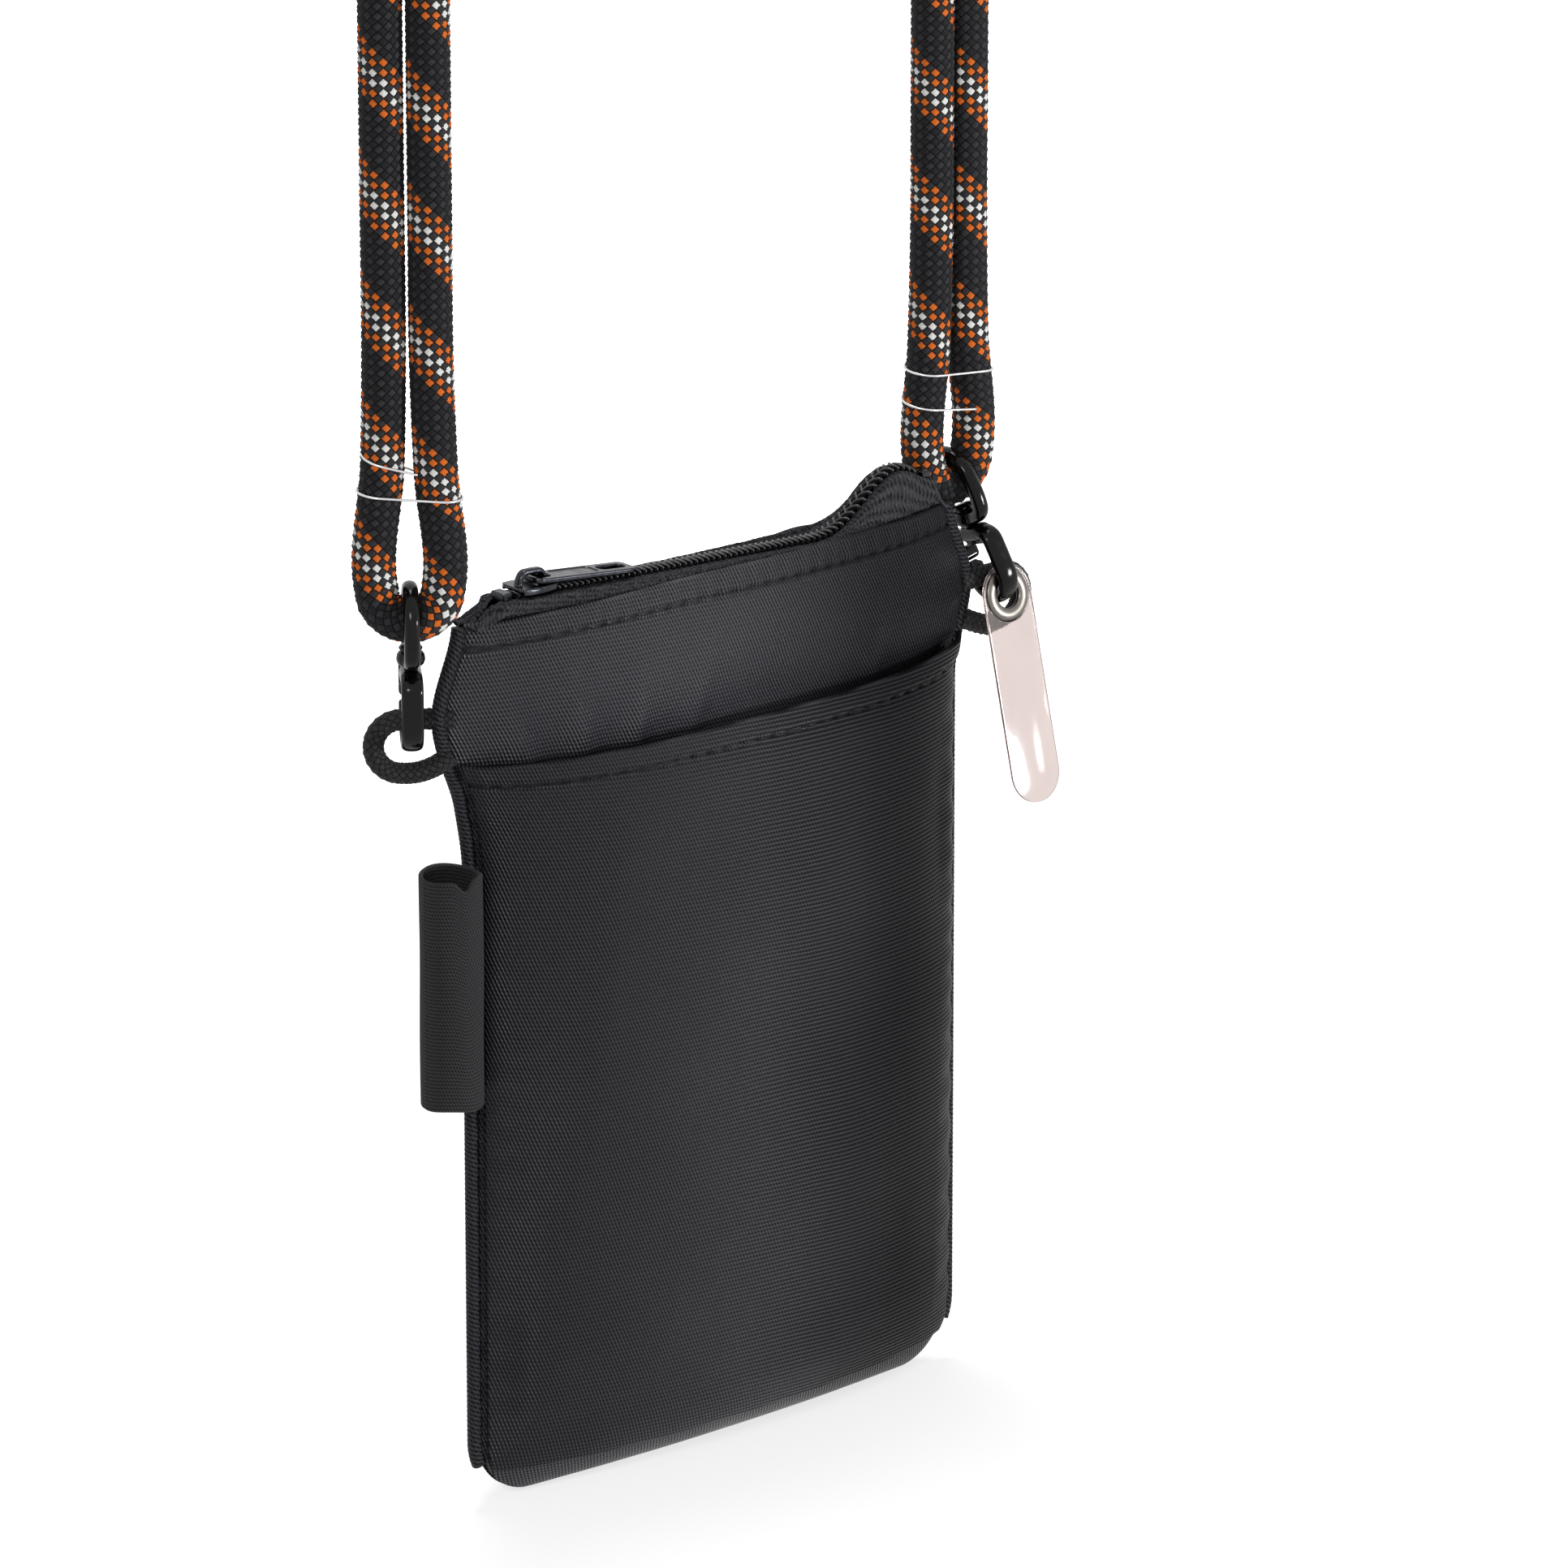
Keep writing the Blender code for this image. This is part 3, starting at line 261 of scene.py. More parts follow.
def tubeMesh(line, offsets, closed=False, side=None):
    # offsets: (rings, columns, 2) along the two crossways directions. Returns points and faces.
    _, first, second = framesAlong(line, closed, side)
    grid = line[:, None] + first[:, None] * offsets[..., :1] + second[:, None] * offsets[..., 1:]
    rings, columns = grid.shape[:2]
    points = grid.reshape(-1, 3)
    faces = gridFaces(rings, columns, True)
    if closed:
        last = (rings - 1) * columns
        c = np.arange(columns)
        after = (c + 1) % columns
        faces = np.concatenate([faces, np.stack([last + c, last + after, after, c], -1)])
        return points, faces
    faces = faces.tolist()
    points = np.concatenate([points, line[:1], line[-1:]])
    start, end = len(points) - 2, len(points) - 1
    last = (rings - 1) * columns
    for c in range(columns):
        after = (c + 1) % columns
        faces.append((after, c, start))
        faces.append((last + c, last + after, end))
    return points, faces


def roundOffsets(rings, columns, radius, squash=1.0, power=2.0):
    # A round section, flattened by squash, and squarer with a higher power.
    turn = 2 * pi * np.arange(columns) / columns
    c, s = np.cos(turn), np.sin(turn)
    reach = (np.abs(c) ** power + np.abs(s) ** power) ** (-1 / power)
    radius = np.broadcast_to(np.asarray(radius, float), (rings,))
    return radius[:, None, None] * np.stack([c * reach, s * reach * squash], -1)[None]


def joined(*parts):
    # Several (points, faces) as one.
    points, faces, base = [], [], 0
    for p, f in parts:
        points.append(np.asarray(p, float))
        faces += [tuple(i + base for i in face) for face in np.asarray(f, object).tolist()]
        base += len(p)
    return np.concatenate(points), faces


def roundedBlock(low, high, radius, segments=3):
    bm = bmesh.new()
    low, high = Vector(low), Vector(high)
    place = Matrix.Translation((low + high) / 2) @ Matrix.Diagonal((*(high - low), 1))
    bmesh.ops.create_cube(bm, size=1.0, matrix=place)
    bmesh.ops.bevel(bm, geom=bm.edges[:], offset=radius, segments=segments, affect="EDGES", profile=0.5)
    points = [tuple(v.co) for v in bm.verts]
    faces = [tuple(v.index for v in f.verts) for f in bm.faces]
    bm.free()
    return points, faces


def turnedPart(profile):
    # A solid of revolution about Z: profile is (radius, height) from the axis out and back to it.
    columns = 48
    axis = Vector((0, 0, 1))
    one = axis.orthogonal().normalized()
    two = axis.cross(one)
    points, rings = [], []
    for radius, height in profile:
        if radius < 1e-9:
            rings.append([len(points)])
            points.append(tuple(axis * height))
            continue
        rings.append(list(range(len(points), len(points) + columns)))
        for c in range(columns):
            turn = 2 * pi * c / columns
            points.append(tuple(axis * height + (one * cos(turn) + two * sin(turn)) * radius))
    faces = []
    for low, high in zip(rings, rings[1:]):
        for c in range(columns):
            after = (c + 1) % columns
            if len(low) == 1:
                faces.append((low[0], high[after], high[c]))
            elif len(high) == 1:
                faces.append((low[c], low[after], high[0]))
            else:
                faces.append((low[c], low[after], high[after], high[c]))
    return points, faces


def evaluatedMesh(data, modifiers=()):
    # The mesh that a curve or a mesh with modifiers makes.
    obj = newObject("raw", data)
    for kind, settings in modifiers:
        made = obj.modifiers.new(kind, kind)
        for key, value in settings.items():
            setattr(made, key, value)
    bpy.context.view_layer.update()
    mesh = bpy.data.meshes.new_from_object(obj.evaluated_get(bpy.context.evaluated_depsgraph_get()))
    bpy.data.objects.remove(obj, do_unlink=True)
    return mesh


def fused(parts, voxel, passes):
    # Cast as one: overlapping closed parts become a single skin with soft inner corners.
    points, faces = joined(*parts)
    mesh = bpy.data.meshes.new("raw")
    mesh.from_pydata([tuple(p) for p in points], [], faces)
    bm = bmesh.new()
    bm.from_mesh(mesh)
    bmesh.ops.recalc_face_normals(bm, faces=bm.faces)
    bm.to_mesh(mesh)
    bm.free()
    made = evaluatedMesh(mesh, (("REMESH", {"mode": "VOXEL", "voxel_size": voxel}),
                                ("SMOOTH", {"factor": 0.5, "iterations": passes})))
    got = np.empty(len(made.vertices) * 3)
    made.vertices.foreach_get("co", got)
    shapes = [tuple(p.vertices) for p in made.polygons]
    bpy.data.meshes.remove(made)
    return got.reshape(-1, 3), shapes


def grainMaterial(name, look):
    # Metal, enamel, plastic or thread: one fine grain drives its colour, its roughness and its bumps.
    made, tree = newMaterial(name)
    place = addNode(tree, "TexCoord").outputs["Object"]
    if "stretch" in look:
        place = addNode(tree, "Mapping", {0: place, "Scale": look["stretch"]})
    if "twist" in look:
        grain = addNode(tree, "TexWave", {"Vector": place, **look["twist"]}, bands_direction="DIAGONAL")
    else:
        grain = addNode(tree, "TexNoise", {"Vector": place, **look["grain"]})
    grain = grain.outputs["Fac"]
    shade = addNode(tree, "Mix", {
        0: grain, 6: toLinear(look["dark"]), 7: toLinear(look["light"])}, **rgba)
    links = {"Base Color": shade.outputs[2], **look["surface"]}
    if "roughness" in look:
        low, high = look["roughness"]
        start, end = look.get("span", (0.0, 1.0))
        links["Roughness"] = addNode(tree, "MapRange", {0: grain, 1: start, 2: end, 3: low, 4: high})
    if "bump" in look:
        strength, depth = look["bump"]
        if "fine" in look:
            grain = addNode(tree, "TexNoise", {"Vector": place, **look["fine"]})
        links["Normal"] = addNode(tree, "Bump", {"Strength": strength, "Distance": depth, "Height": grain})
    finishMaterial(tree, addNode(tree, "BsdfPrincipled", links))
    return made


# Camera, light and floor

view = {
    "azimuth": -40.9,        # degrees round from the front, towards the pouch's left side
    "elevation": 18.67,
    "distance": 2.169,
    "focalPixels": 14000,
    "framePixels": 1932,     # across the picture
    "sensor": 36,
    "aimHeight": 0.090,
    "aimRight": 0.01355,
    "aimUp": 0.0384,
}


def makeCamera():
    az, el = radians(view["azimuth"]), radians(view["elevation"])
    back = Vector((sin(az) * cos(el), -cos(az) * cos(el), sin(el)))
    right = Vector((cos(az), sin(az), 0))
    up = back.cross(right)
    aim = Vector((0, 0, view["aimHeight"] - hangHeight)) + right * view["aimRight"] + up * view["aimUp"]
    camera = newObject("camera", bpy.data.cameras.new("camera"))
    camera.data.sensor_width = view["sensor"]
    camera.data.lens = view["focalPixels"] / view["framePixels"] * view["sensor"]
    camera.data.clip_end = 50
    place = Matrix((right, up, back)).transposed().to_4x4()
    place.translation = aim + back * view["distance"]
    camera.matrix_world = place
    bpy.context.scene.camera = camera
    bpy.context.scene.view_settings.view_transform = "Standard"


stage = {
    "floorDrop": 0.0012,     # under the bottom seam
    "floorSize": 12.0,
    "shadowShare": 0.6,      # how much of the floor's look is its lit, shadowed part
    "floorGlow": 1.78,       # makes up for that share where no shadow falls
    "shadowReach": (0.16, 0.5),
    "world": 0.2,
    "paper": "#F6F6F6",
    "lampsAimAt": (0, 0, -0.35),
    "lamps": {
        "key": {"at": (-1.3, -0.9, 0.6), "size": 0.5, "power": 9.0},
        "front": {"at": (0.86, -1.46, -0.27), "size": 0.3, "power": 17.0},
        "top": {"at": (0.15, 0.35, 1.4), "size": 0.7, "power": 12.0},
    },
}


def whiteToCamera(tree, lit, share):
    # White where the camera, a mirror or clear plastic sees it, but for the share that keeps the
    # object's shadow, and lit as usual for the rest.
    rays = addNode(tree, "LightPath")
    other = addNode(tree, "Math", {
        0: rays.outputs["Is Glossy Ray"], 1: rays.outputs["Is Transmission Ray"]}, operation="MAXIMUM")
    plain = addNode(tree, "Emission", {"Color": (1, 1, 1, 1), "Strength": 1.0})
    lit = addNode(tree, "MixShader", {0: other, 1: lit, 2: plain})
    place = addNode(tree, "NewGeometry")
    away = addNode(tree, "VectorMath", {
        0: place.outputs["Position"], 1: (0, 0, -hangHeight)}, operation="DISTANCE")
    near, far = stage["shadowReach"]
    whiter = addNode(tree, "MapRange", {
        0: away.outputs["Value"], 1: near, 2: far, 3: share, 4: 1.0}, **soft)
    part = addNode(tree, "Math", {0: rays.outputs["Is Camera Ray"], 1: whiter}, operation="MULTIPLY")
    white = addNode(tree, "Emission", {"Color": (1, 1, 1, 1), "Strength": stage["floorGlow"]})
    return addNode(tree, "MixShader", {0: part, 1: lit, 2: white})


def makeStage():
    world = bpy.data.worlds.new("studio")
    bpy.context.scene.world = world
    world.use_nodes = True
    tree = world.node_tree
    tree.nodes.clear()
    rays = addNode(tree, "LightPath")
    seen = addNode(tree, "Math", {
        0: rays.outputs["Is Camera Ray"], 1: rays.outputs["Is Transmission Ray"]}, operation="MAXIMUM")
    seen = addNode(tree, "Math", {0: seen, 1: rays.outputs["Is Glossy Ray"]}, operation="MAXIMUM")
    dim = addNode(tree, "Background", {"Color": (1, 1, 1, 1), "Strength": stage["world"]})
    white = addNode(tree, "Background", {"Color": (1, 1, 1, 1), "Strength": 1.0})
    both = addNode(tree, "MixShader", {0: seen, 1: dim, 2: white})
    addNode(tree, "OutputWorld", {"Surface": both})

    paper, tree = newMaterial("whitePaperSweep")
    lit = addNode(tree, "BsdfDiffuse", {"Color": toLinear(stage["paper"]), "Roughness": 0.0})
    finishMaterial(tree, whiteToCamera(tree, lit, 1 - stage["shadowShare"]))
    half = stage["floorSize"] / 2
    low = -hangHeight - stage["floorDrop"]
    mesh = bpy.data.meshes.new("floor")
    mesh.from_pydata([(-half, -half, low), (half, -half, low), (half, half, low), (-half, half, low)],
                     [], [(0, 1, 2, 3)])
    mesh.materials.append(paper)
    newObject("floor", mesh)

    for name, lamp in stage["lamps"].items():
        light = bpy.data.lights.new(name, "AREA")
        light.shape = "DISK"
        light.size = lamp["size"]
        light.energy = lamp["power"]
        obj = newObject(name, light)
        obj.location = lamp["at"]
        towards = Vector(stage["lampsAimAt"]) - obj.location
        obj.rotation_euler = towards.to_track_quat("-Z", "Y").to_euler()


makeCamera()
makeStage()
print("camera and stage: done")


# Hooks: the frames that the loops, the rope and the hooks share

loops = {
    "cord": 4.2 * mm,
    "rootX": 65.2 * mm,
    "bandHeight": 157.8 * mm,
    "bend": 8.15 * mm,
    "arc": 5.25 * mm,
    "hookPlace": 4.8 * mm,
    "sewnIn": 1.6 * mm,      # how far the loop's start lies inside the seam
    "carriers": 8, "lead": 12.0 * mm, "relief": 0.34 * mm,
    "turn": {-1: 36.0, 1: 0.0},      # degrees that each loop stands out of the pouch's plane
    # the way back under the bend: a share of it and a rise, then how far in and up the end lies
    "under": ((0.62, 0.15 * mm), (0.25, 1.2 * mm)), "endIn": 1.2 * mm, "endUp": 3.4 * mm,
    "startIn": 1.5 * mm,
}
hook = {
    "mouthHalf": 4.0 * mm,
    "bar": 2.4 * mm,
    "barDepth": 4.2 * mm,
    "barW": 5.2 * mm,
    "headLow": 6.6 * mm,
    "headHigh": 9.8 * mm,
    "headWidth": 7.6 * mm,
    "ropeInEye": 18.85 * mm,
    "eyeHalf": 5.95 * mm,
    "eyeWire": 3.0 * mm,
    "eyeCorner": 3.0 * mm,
    "pinHeight": 7.9 * mm,
    "gateDrop": 5.2 * mm,
    "lugHalf": 0.7 * mm,
    "leanInward": 4.2 * mm,
    "leanBack": 6.2 * mm,
    "rightTurn": 3.0,
    "rightDrop": 0.5 * mm,
    "bandShare": 0.85,       # how far round the mouth the loop's band sits
    "shoulder": 1.6 * mm,    # the spine's start over the head's foot
    "headShort": 0.9 * mm,   # of the mouth's side
    "lugOver": 1.2 * mm,     # over the pin
    "gateTop": -2.3 * mm,    # of the gate's bar, from the pin
    "ears": (-2.9 * mm, 0.6 * mm),       # foot and top of the gate's ears, from the pin
    # rounding and segments of the cast blocks
    "edges": {"head": (1.35 * mm, 5), "gate": (0.95 * mm, 5), "ear": (0.4 * mm, 4), "lug": (0.25 * mm, 3)},
    "baseHeight": 10.1 * mm,     # of the eye's base
    "weld": (0.14 * mm, 6),      # voxel and smoothing passes that fuse the castings
    "gateWeld": (0.1 * mm, 4),
}
rope = {
    "diameter": 8.3 * mm,
    "thick": 8.5 * mm,       # over the crowns of the yarns
    "bightHalf": 6.2 * mm,
    "pairHalf": 4.35 * mm,
    "openUntil": 10 * mm,
    "closedFrom": 31 * mm,
    "knotHeight": 0.333,
    "knotTurns": 3,
    "knotPitch": 8.9 * mm,
    "step": 0.021,
    "carriers": 12,          # yarns each way round
    "lead": 23.1 * mm,
    "relief": 0.6 * mm,
    "length": 0.96,
    "taper": 3 * mm,         # over which each cut end rounds off
    "ends": 0.02,
}
gap = 0.3 * mm


def loopDirection(side):
    turn = radians(loops["turn"][side])
    return Vector((side * cos(turn), sin(turn), 0))


def loopStart(side):
    return gap + loops["cord"] / 2 * sin(radians(loops["turn"][side]))


def loopRoot(side):
    return Vector((side * loops["rootX"], 0, 0))


def hookFrame(side):
    # X runs from the hook's spine to its nose, Y along its pin and Z along its shank.
    band = loopRoot(side) + loopDirection(side) * (loops["hookPlace"] + loopStart(side))
    seat = hook["mouthHalf"] - loops["cord"] / 2 - gap
    if side > 0:
        seat -= hook["rightDrop"]
        inward, back = hook["leanInward"], hook["leanBack"]
        shank = Vector((-inward, back, sqrt(hook["ropeInEye"] ** 2 - inward**2 - back**2))).normalized()
        turn = radians(hook["rightTurn"])
        w = Vector((sin(turn), cos(turn), 0))
        w = (w - shank * w.dot(shank)).normalized()
    else:
        shank = Vector((0, 0, 1))
        turn = radians(loops["turn"][side])
        w = Vector((sin(turn), cos(turn), 0))
    axes = Matrix((w, shank.cross(w), shank)).transposed().to_4x4()
    centre = Vector((band.x, band.y, loops["bandHeight"]))
    share = hook["bandShare"]
    centre += shank * seat * sqrt(1 - share**2) - w * seat * share
    return Matrix.Translation(centre) @ axes


def pairDirection(side):
    turn = radians(loops["turn"][-1])
    return Vector((-1, 0, 0)) if side > 0 else Vector((cos(turn), -sin(turn), 0))


def bightCentre(side):
    pinAxis = hookFrame(side).to_3x3() @ Vector((0, 1, 0))
    lean = atan2(pinAxis.z, Vector((pinAxis.x, pinAxis.y)).length)
    eyeCentre = hookFrame(side) @ Vector((0, 0, hook["ropeInEye"]))
    shift = -pairDirection(side) * rope["bightHalf"] * sin(abs(lean))
    return eyeCentre - shift + Vector((0, 0, rope["bightHalf"] * cos(lean)))


# Rope strap: the route of the CAD rope, point for point

def strandOffset(over):
    t = (over - rope["openUntil"]) / (rope["closedFrom"] - rope["openUntil"])
    return mix(rope["bightHalf"], rope["pairHalf"], float(smooth(t)))


def strand(side, which, low, high, count):
    centre, along = bightCentre(side), pairDirection(side)
    heights = [mix(low, high, i / count) for i in range(count + 1)]
    return [Vector((centre.x, centre.y, z)) + along * which * strandOffset(z - centre.z) for z in heights]


def bight(side):
    centre, along = bightCentre(side), pairDirection(side)
    turns = [radians(-180 * i / 8) for i in range(9)]
    half = rope["bightHalf"]
    return [Vector((centre.x, centre.y, centre.z + half * sin(t))) + along * half * cos(t) for t in turns]


def ropeRoute():
    lowLeft, lowRight = bightCentre(-1).z, bightCentre(1).z
    count = max(round((rope["knotHeight"] - lowLeft) / rope["step"]), 2)
    knotHalf = (rope["knotTurns"] * rope["knotPitch"] + rope["diameter"]) / 2
    top, end = rope["knotHeight"] + knotHalf, rope["knotHeight"] + knotHalf / 2
    points = strand(-1, 1, lowLeft, end, count)[::-1] + bight(-1)[1:]
    points += strand(-1, -1, lowLeft, top, count)[1:]
    start, finish = points[-1], strand(1, -1, lowRight, top, count)[-1]
    middle, half = (start + finish) / 2, (finish - start).length / 2
    across = (finish - start).normalized()
    shoulder = hangHeight + rope["diameter"] / 2 - half
    for i in range(17):
        turn = pi * i / 16
        spot = middle * (1 - sin(turn)) - across * half * cos(turn)
        points.append(Vector((spot.x, spot.y, shoulder + half * sin(turn))))
    points += strand(1, -1, lowRight, top, count)[::-1] + bight(1)[::-1][1:]
    return points + strand(1, 1, lowRight, end, count)[1:]


def ovalSpot(share, flat, deep):
    # A place on the oval round two strands, by its share of the way round.
    around, quarter = 2 * pi * deep + 4 * flat, pi * deep / 2
    s = share % 1.0 * around
    if s < quarter:
        return flat + deep * cos(s / deep), deep * sin(s / deep)
    if s < quarter + 2 * flat:
        return flat - (s - quarter), deep
    if s < 3 * quarter + 2 * flat:
        t = (s - quarter - 2 * flat) / deep
        return -flat - deep * sin(t), deep * cos(t)
    if s < 3 * quarter + 4 * flat:
        return -flat + (s - 3 * quarter - 2 * flat), -deep
    t = (s - 3 * quarter - 4 * flat) / deep
    return flat + deep * sin(t), -deep * cos(t)


def winding(side, along, shares, heights, deep, flat=None):
    # A winding round both strands of one side, by the share of a turn and its height over the bight.
    centre = bightCentre(side)
    crossways = Vector((-along.y, along.x, 0))
    points = []
    for share, height in zip(shares, heights):
        d, c = ovalSpot(share, flat or strandOffset(height), deep)
        points.append(Vector((centre.x, centre.y, centre.z + height)) + along * d + crossways * c)
    return points


def knotWinding(side):
    pitch, turns, perTurn = rope["knotPitch"], rope["knotTurns"], 24
    middle = rope["knotHeight"] - bightCentre(side).z
    flat = strandOffset(middle - pitch * turns / 2 - rope["diameter"])
    shares = [i / perTurn for i in range(turns * perTurn + 1)]
    heights = [middle + pitch * (share - turns / 2) for share in shares]
    return winding(side, pairDirection(side), shares, heights, rope["diameter"] + gap, flat)


ties = {
    "wire": 0.5 * mm, "sunk": 0.1, "steps": 150,
    "base": {-1: 26.5 * mm, 1: 18.4 * mm},       # over the middle of the bight
    # height by the share of a turn: the wire falls across the front, and its ends stay in sight
    "fall": {-1: ((-0.66, -0.44, 0.0, 0.5, 0.78), (-7.1, -7.4, -9.3, 0.0, -3.4)),
             1: ((0.4, 0.5, 1.0, 1.5, 1.82), (0.4, 0.0, -2.8, -6.4, -9.2))},
}


def tieWinding(side):
    # Wire pulled tight round both strands.
    along = pairDirection(side)
    places, falls = ties["fall"][side]
    shares = np.linspace(places[0], places[-1], ties["steps"])
    heights = [ties["base"][side] + float(np.interp(share, places, falls)) * mm for share in shares]
    deep = rope["thick"] / 2 - ties["wire"] * ties["sunk"]
    return winding(side, along if side < 0 else -along, shares, heights, deep)


def braid(points, diameter, carriers, lead, relief, taper=0.0):
    # A round braid: each half cell of the plait gets two rows and two columns of points.
    # Threads are the two carrier numbers (a, b): a yarn keeps a whole part of one of them.
    half = lead / (2 * carriers)
    line, length = smoothLine(points, half / 2)
    rings, columns = len(line), 4 * carriers
    s = np.linspace(0, length, rings)
    turn = np.arange(columns + 1) / columns
    a = carriers * (turn[None] + s[:, None] / lead)
    b = carriers * (turn[None] - s[:, None] / lead) + 1000 * carriers
    dome = np.sqrt(np.abs(np.sin(pi * a) * np.sin(pi * b)))[:, :columns]
    reach = diameter / 2 - relief * (1 - dome)
    if taper:
        ends = np.minimum(s, length - s) / taper
        reach = reach * np.sqrt(np.clip(ends * (2 - np.minimum(ends, 1)), rope["ends"], 1))[:, None]
    angle = 2 * pi * turn[:columns]
    offsets = reach[..., None] * np.stack([np.cos(angle), np.sin(angle)], -1)[None]
    points, faces = tubeMesh(line, offsets)
    r, c = np.meshgrid(np.arange(rings - 1), np.arange(columns), indexing="ij")
    ab = np.stack([a, b], -1)
    corners = np.stack([ab[r, c], ab[r, c + 1], ab[r + 1, c + 1], ab[r + 1, c]], 2).reshape(-1, 2)
    capStart = np.stack([ab[0, 1:], ab[0, :-1], ab[0, :-1]], 1).reshape(-1, 2)
    capEnd = np.stack([ab[-1, :-1], ab[-1, 1:], ab[-1, 1:]], 1).reshape(-1, 2)
    caps = np.stack([capStart.reshape(-1, 3, 2), capEnd.reshape(-1, 3, 2)], 1).reshape(-1, 2)
    return points, faces, np.concatenate([corners, caps]), line


def braidMaterial(name, look):
    # Polyester braid, plaited from twisted yarns: round matt cells, with painted shade in the dark gaps
    # between them.
    made, tree = newMaterial(name)
    threads = addNode(tree, "UVMap", uv_map="threads")
    ab = addNode(tree, "SeparateXYZ", {0: threads})
    whole = [addNode(tree, "Math", {0: ab.outputs[i]}, operation="FLOOR") for i in (0, 1)]
    part = [addNode(tree, "Math", {0: ab.outputs[i]}, operation="FRACT") for i in (0, 1)]
    total = addNode(tree, "Math", {0: whole[0], 1: whole[1]}, operation="ADD")
    parity = addNode(tree, "Math", {0: total, 1: 2.0}, operation="FLOORED_MODULO")
    over = addNode(tree, "Math", {0: parity, 1: 0.5}, operation="LESS_THAN")
    # the yarn's colour goes by its number round the rope
    share = addNode(tree, "Math", {0: whole[0], 1: look["carriers"]}, operation="DIVIDE")
    place = addNode(tree, "Math", {0: share}, operation="FRACT")
    nudged = addNode(tree, "Math", {0: place, 1: 0.5 / look["carriers"]}, operation="ADD")
    wrapped = addNode(tree, "Math", {0: nudged}, operation="FRACT")
    yarns = addNode(tree, "ValToRGB", {0: wrapped})
    yarns.color_ramp.interpolation = "CONSTANT"
    setStops(yarns.color_ramp, look["yarns"])
    waves = []
    for fraction in part:
        turn = addNode(tree, "Math", {0: fraction, 1: pi}, operation="MULTIPLY")
        waves.append(addNode(tree, "Math", {0: turn}, operation="SINE"))
    # across and along whichever yarn lies on top
    width, lengthwise, sides, ends = [
        addNode(tree, "Mix", {0: over, 2: under, 3: above})
        for above, under in (part, part[::-1], waves, waves[::-1])]
    lay = addNode(tree, "CombineXYZ", {0: width, 1: lengthwise, 2: total})
    stretch = addNode(tree, "VectorMath", {0: lay, 1: look["fibres"]}, operation="MULTIPLY")
    fibres = addNode(tree, "TexNoise", {"Vector": stretch, "Scale": 1.0, "Detail": 2.0, "Roughness": 0.6})
    black = addNode(tree, "Mix", {
        0: fibres, 6: toLinear(look["darkest"]), 7: toLinear(look["ground"])}, **rgba)
    tinted = addNode(tree, "Mix", {0: look["tint"], 6: yarns, 7: fibres.outputs["Color"]},
                     blend_type="MULTIPLY", **rgba)
    brighter = addNode(tree, "Mix", {0: look["clean"], 6: tinted.outputs[2], 7: yarns}, **rgba)
    onTop = addNode(tree, "Mix", {0: over, 6: black.outputs[2], 7: brighter.outputs[2]}, **rgba)
    # the yarn on top is cut off sharply along its sides and runs on at its ends, into the gap colour, which
    # is painted shade between the yarns
    sides = addNode(tree, "MapRange", {0: sides, 1: look["gapFrom"], 2: look["gapTo"]}, **soft)
    ends = addNode(tree, "MapRange", {0: ends, 1: 0.0, 2: look["gapTo"] * look["endShare"]}, **soft)
    edge = addNode(tree, "Math", {0: sides, 1: ends}, operation="MULTIPLY")
    colour = addNode(tree, "Mix", {0: edge, 6: toLinear(look["gap"]), 7: onTop.outputs[2]}, **rgba)
    height = addNode(tree, "Math", {0: fibres, 1: look["fibreShare"], 2: edge}, operation="MULTIPLY_ADD")
    bump = addNode(tree, "Bump", {"Strength": look["bump"], "Distance": look["bumpDepth"], "Height": height})
    finishMaterial(tree, addNode(tree, "BsdfPrincipled", {
        "Base Color": colour.outputs[2], "Roughness": look["roughness"], "Normal": bump,
        "Specular IOR Level": look["specular"], "Sheen Weight": look["sheen"], "Sheen Roughness": 0.5}))
    return made


ropeLook = {
    "carriers": 12,
    "yarns": ((0.0, "#E0702A"), (2 / 12, "#EDEDEA"), (4 / 12, "#E0702A"), (6 / 12, "#212124")),
    # gap: painted shade between the yarns
    "ground": "#3D3D41", "darkest": "#1F1F21", "gap": "#040404",
    "gapFrom": 0.06, "gapTo": 0.5, "endShare": 0.6,
    "fibres": (5.0, 1.6, 0.37), "fibreShare": 0.5, "tint": 0.35, "clean": 0.55,
    "bump": 1.0, "bumpDepth": 0.12 * mm, "roughness": 0.75, "specular": 0.15, "sheen": 0.04,
}
# Braided polyester: matt, with a faint nap; cells 2.2 mm round by 1.9 mm along, as measured.
braidedPolyester = braidMaterial("polyesterRopeBraided", ropeLook)

cordLook = dict(
    ropeLook, carriers=8, yarns=((0.0, "#2A2A2B"), (0.5, "#242426")), ground="#3C3C3F", darkest="#1E1E20",
    # gap: painted shade between the yarns
    gap="#020202", gapFrom=0.12, fibres=(4.0, 1.6, 0.37), bump=0.9, roughness=0.6, sheen=0.05)
# The same braid in a thinner black cord, a little shinier where hands rub it.
braidedCord = braidMaterial("polyesterCordBraided", cordLook)

# Drawn steel wire with a tin coat: bright, and slightly soft in its reflection. Streaks of 1 mm.
tinnedWire = grainMaterial("steelWireTinned", {
    "grain": {"Scale": 900.0, "Detail": 3.0}, "dark": "#C9CACC", "light": "#E6E6E6",
    "roughness": (0.16, 0.34), "surface": {"Metallic": 1.0},
})


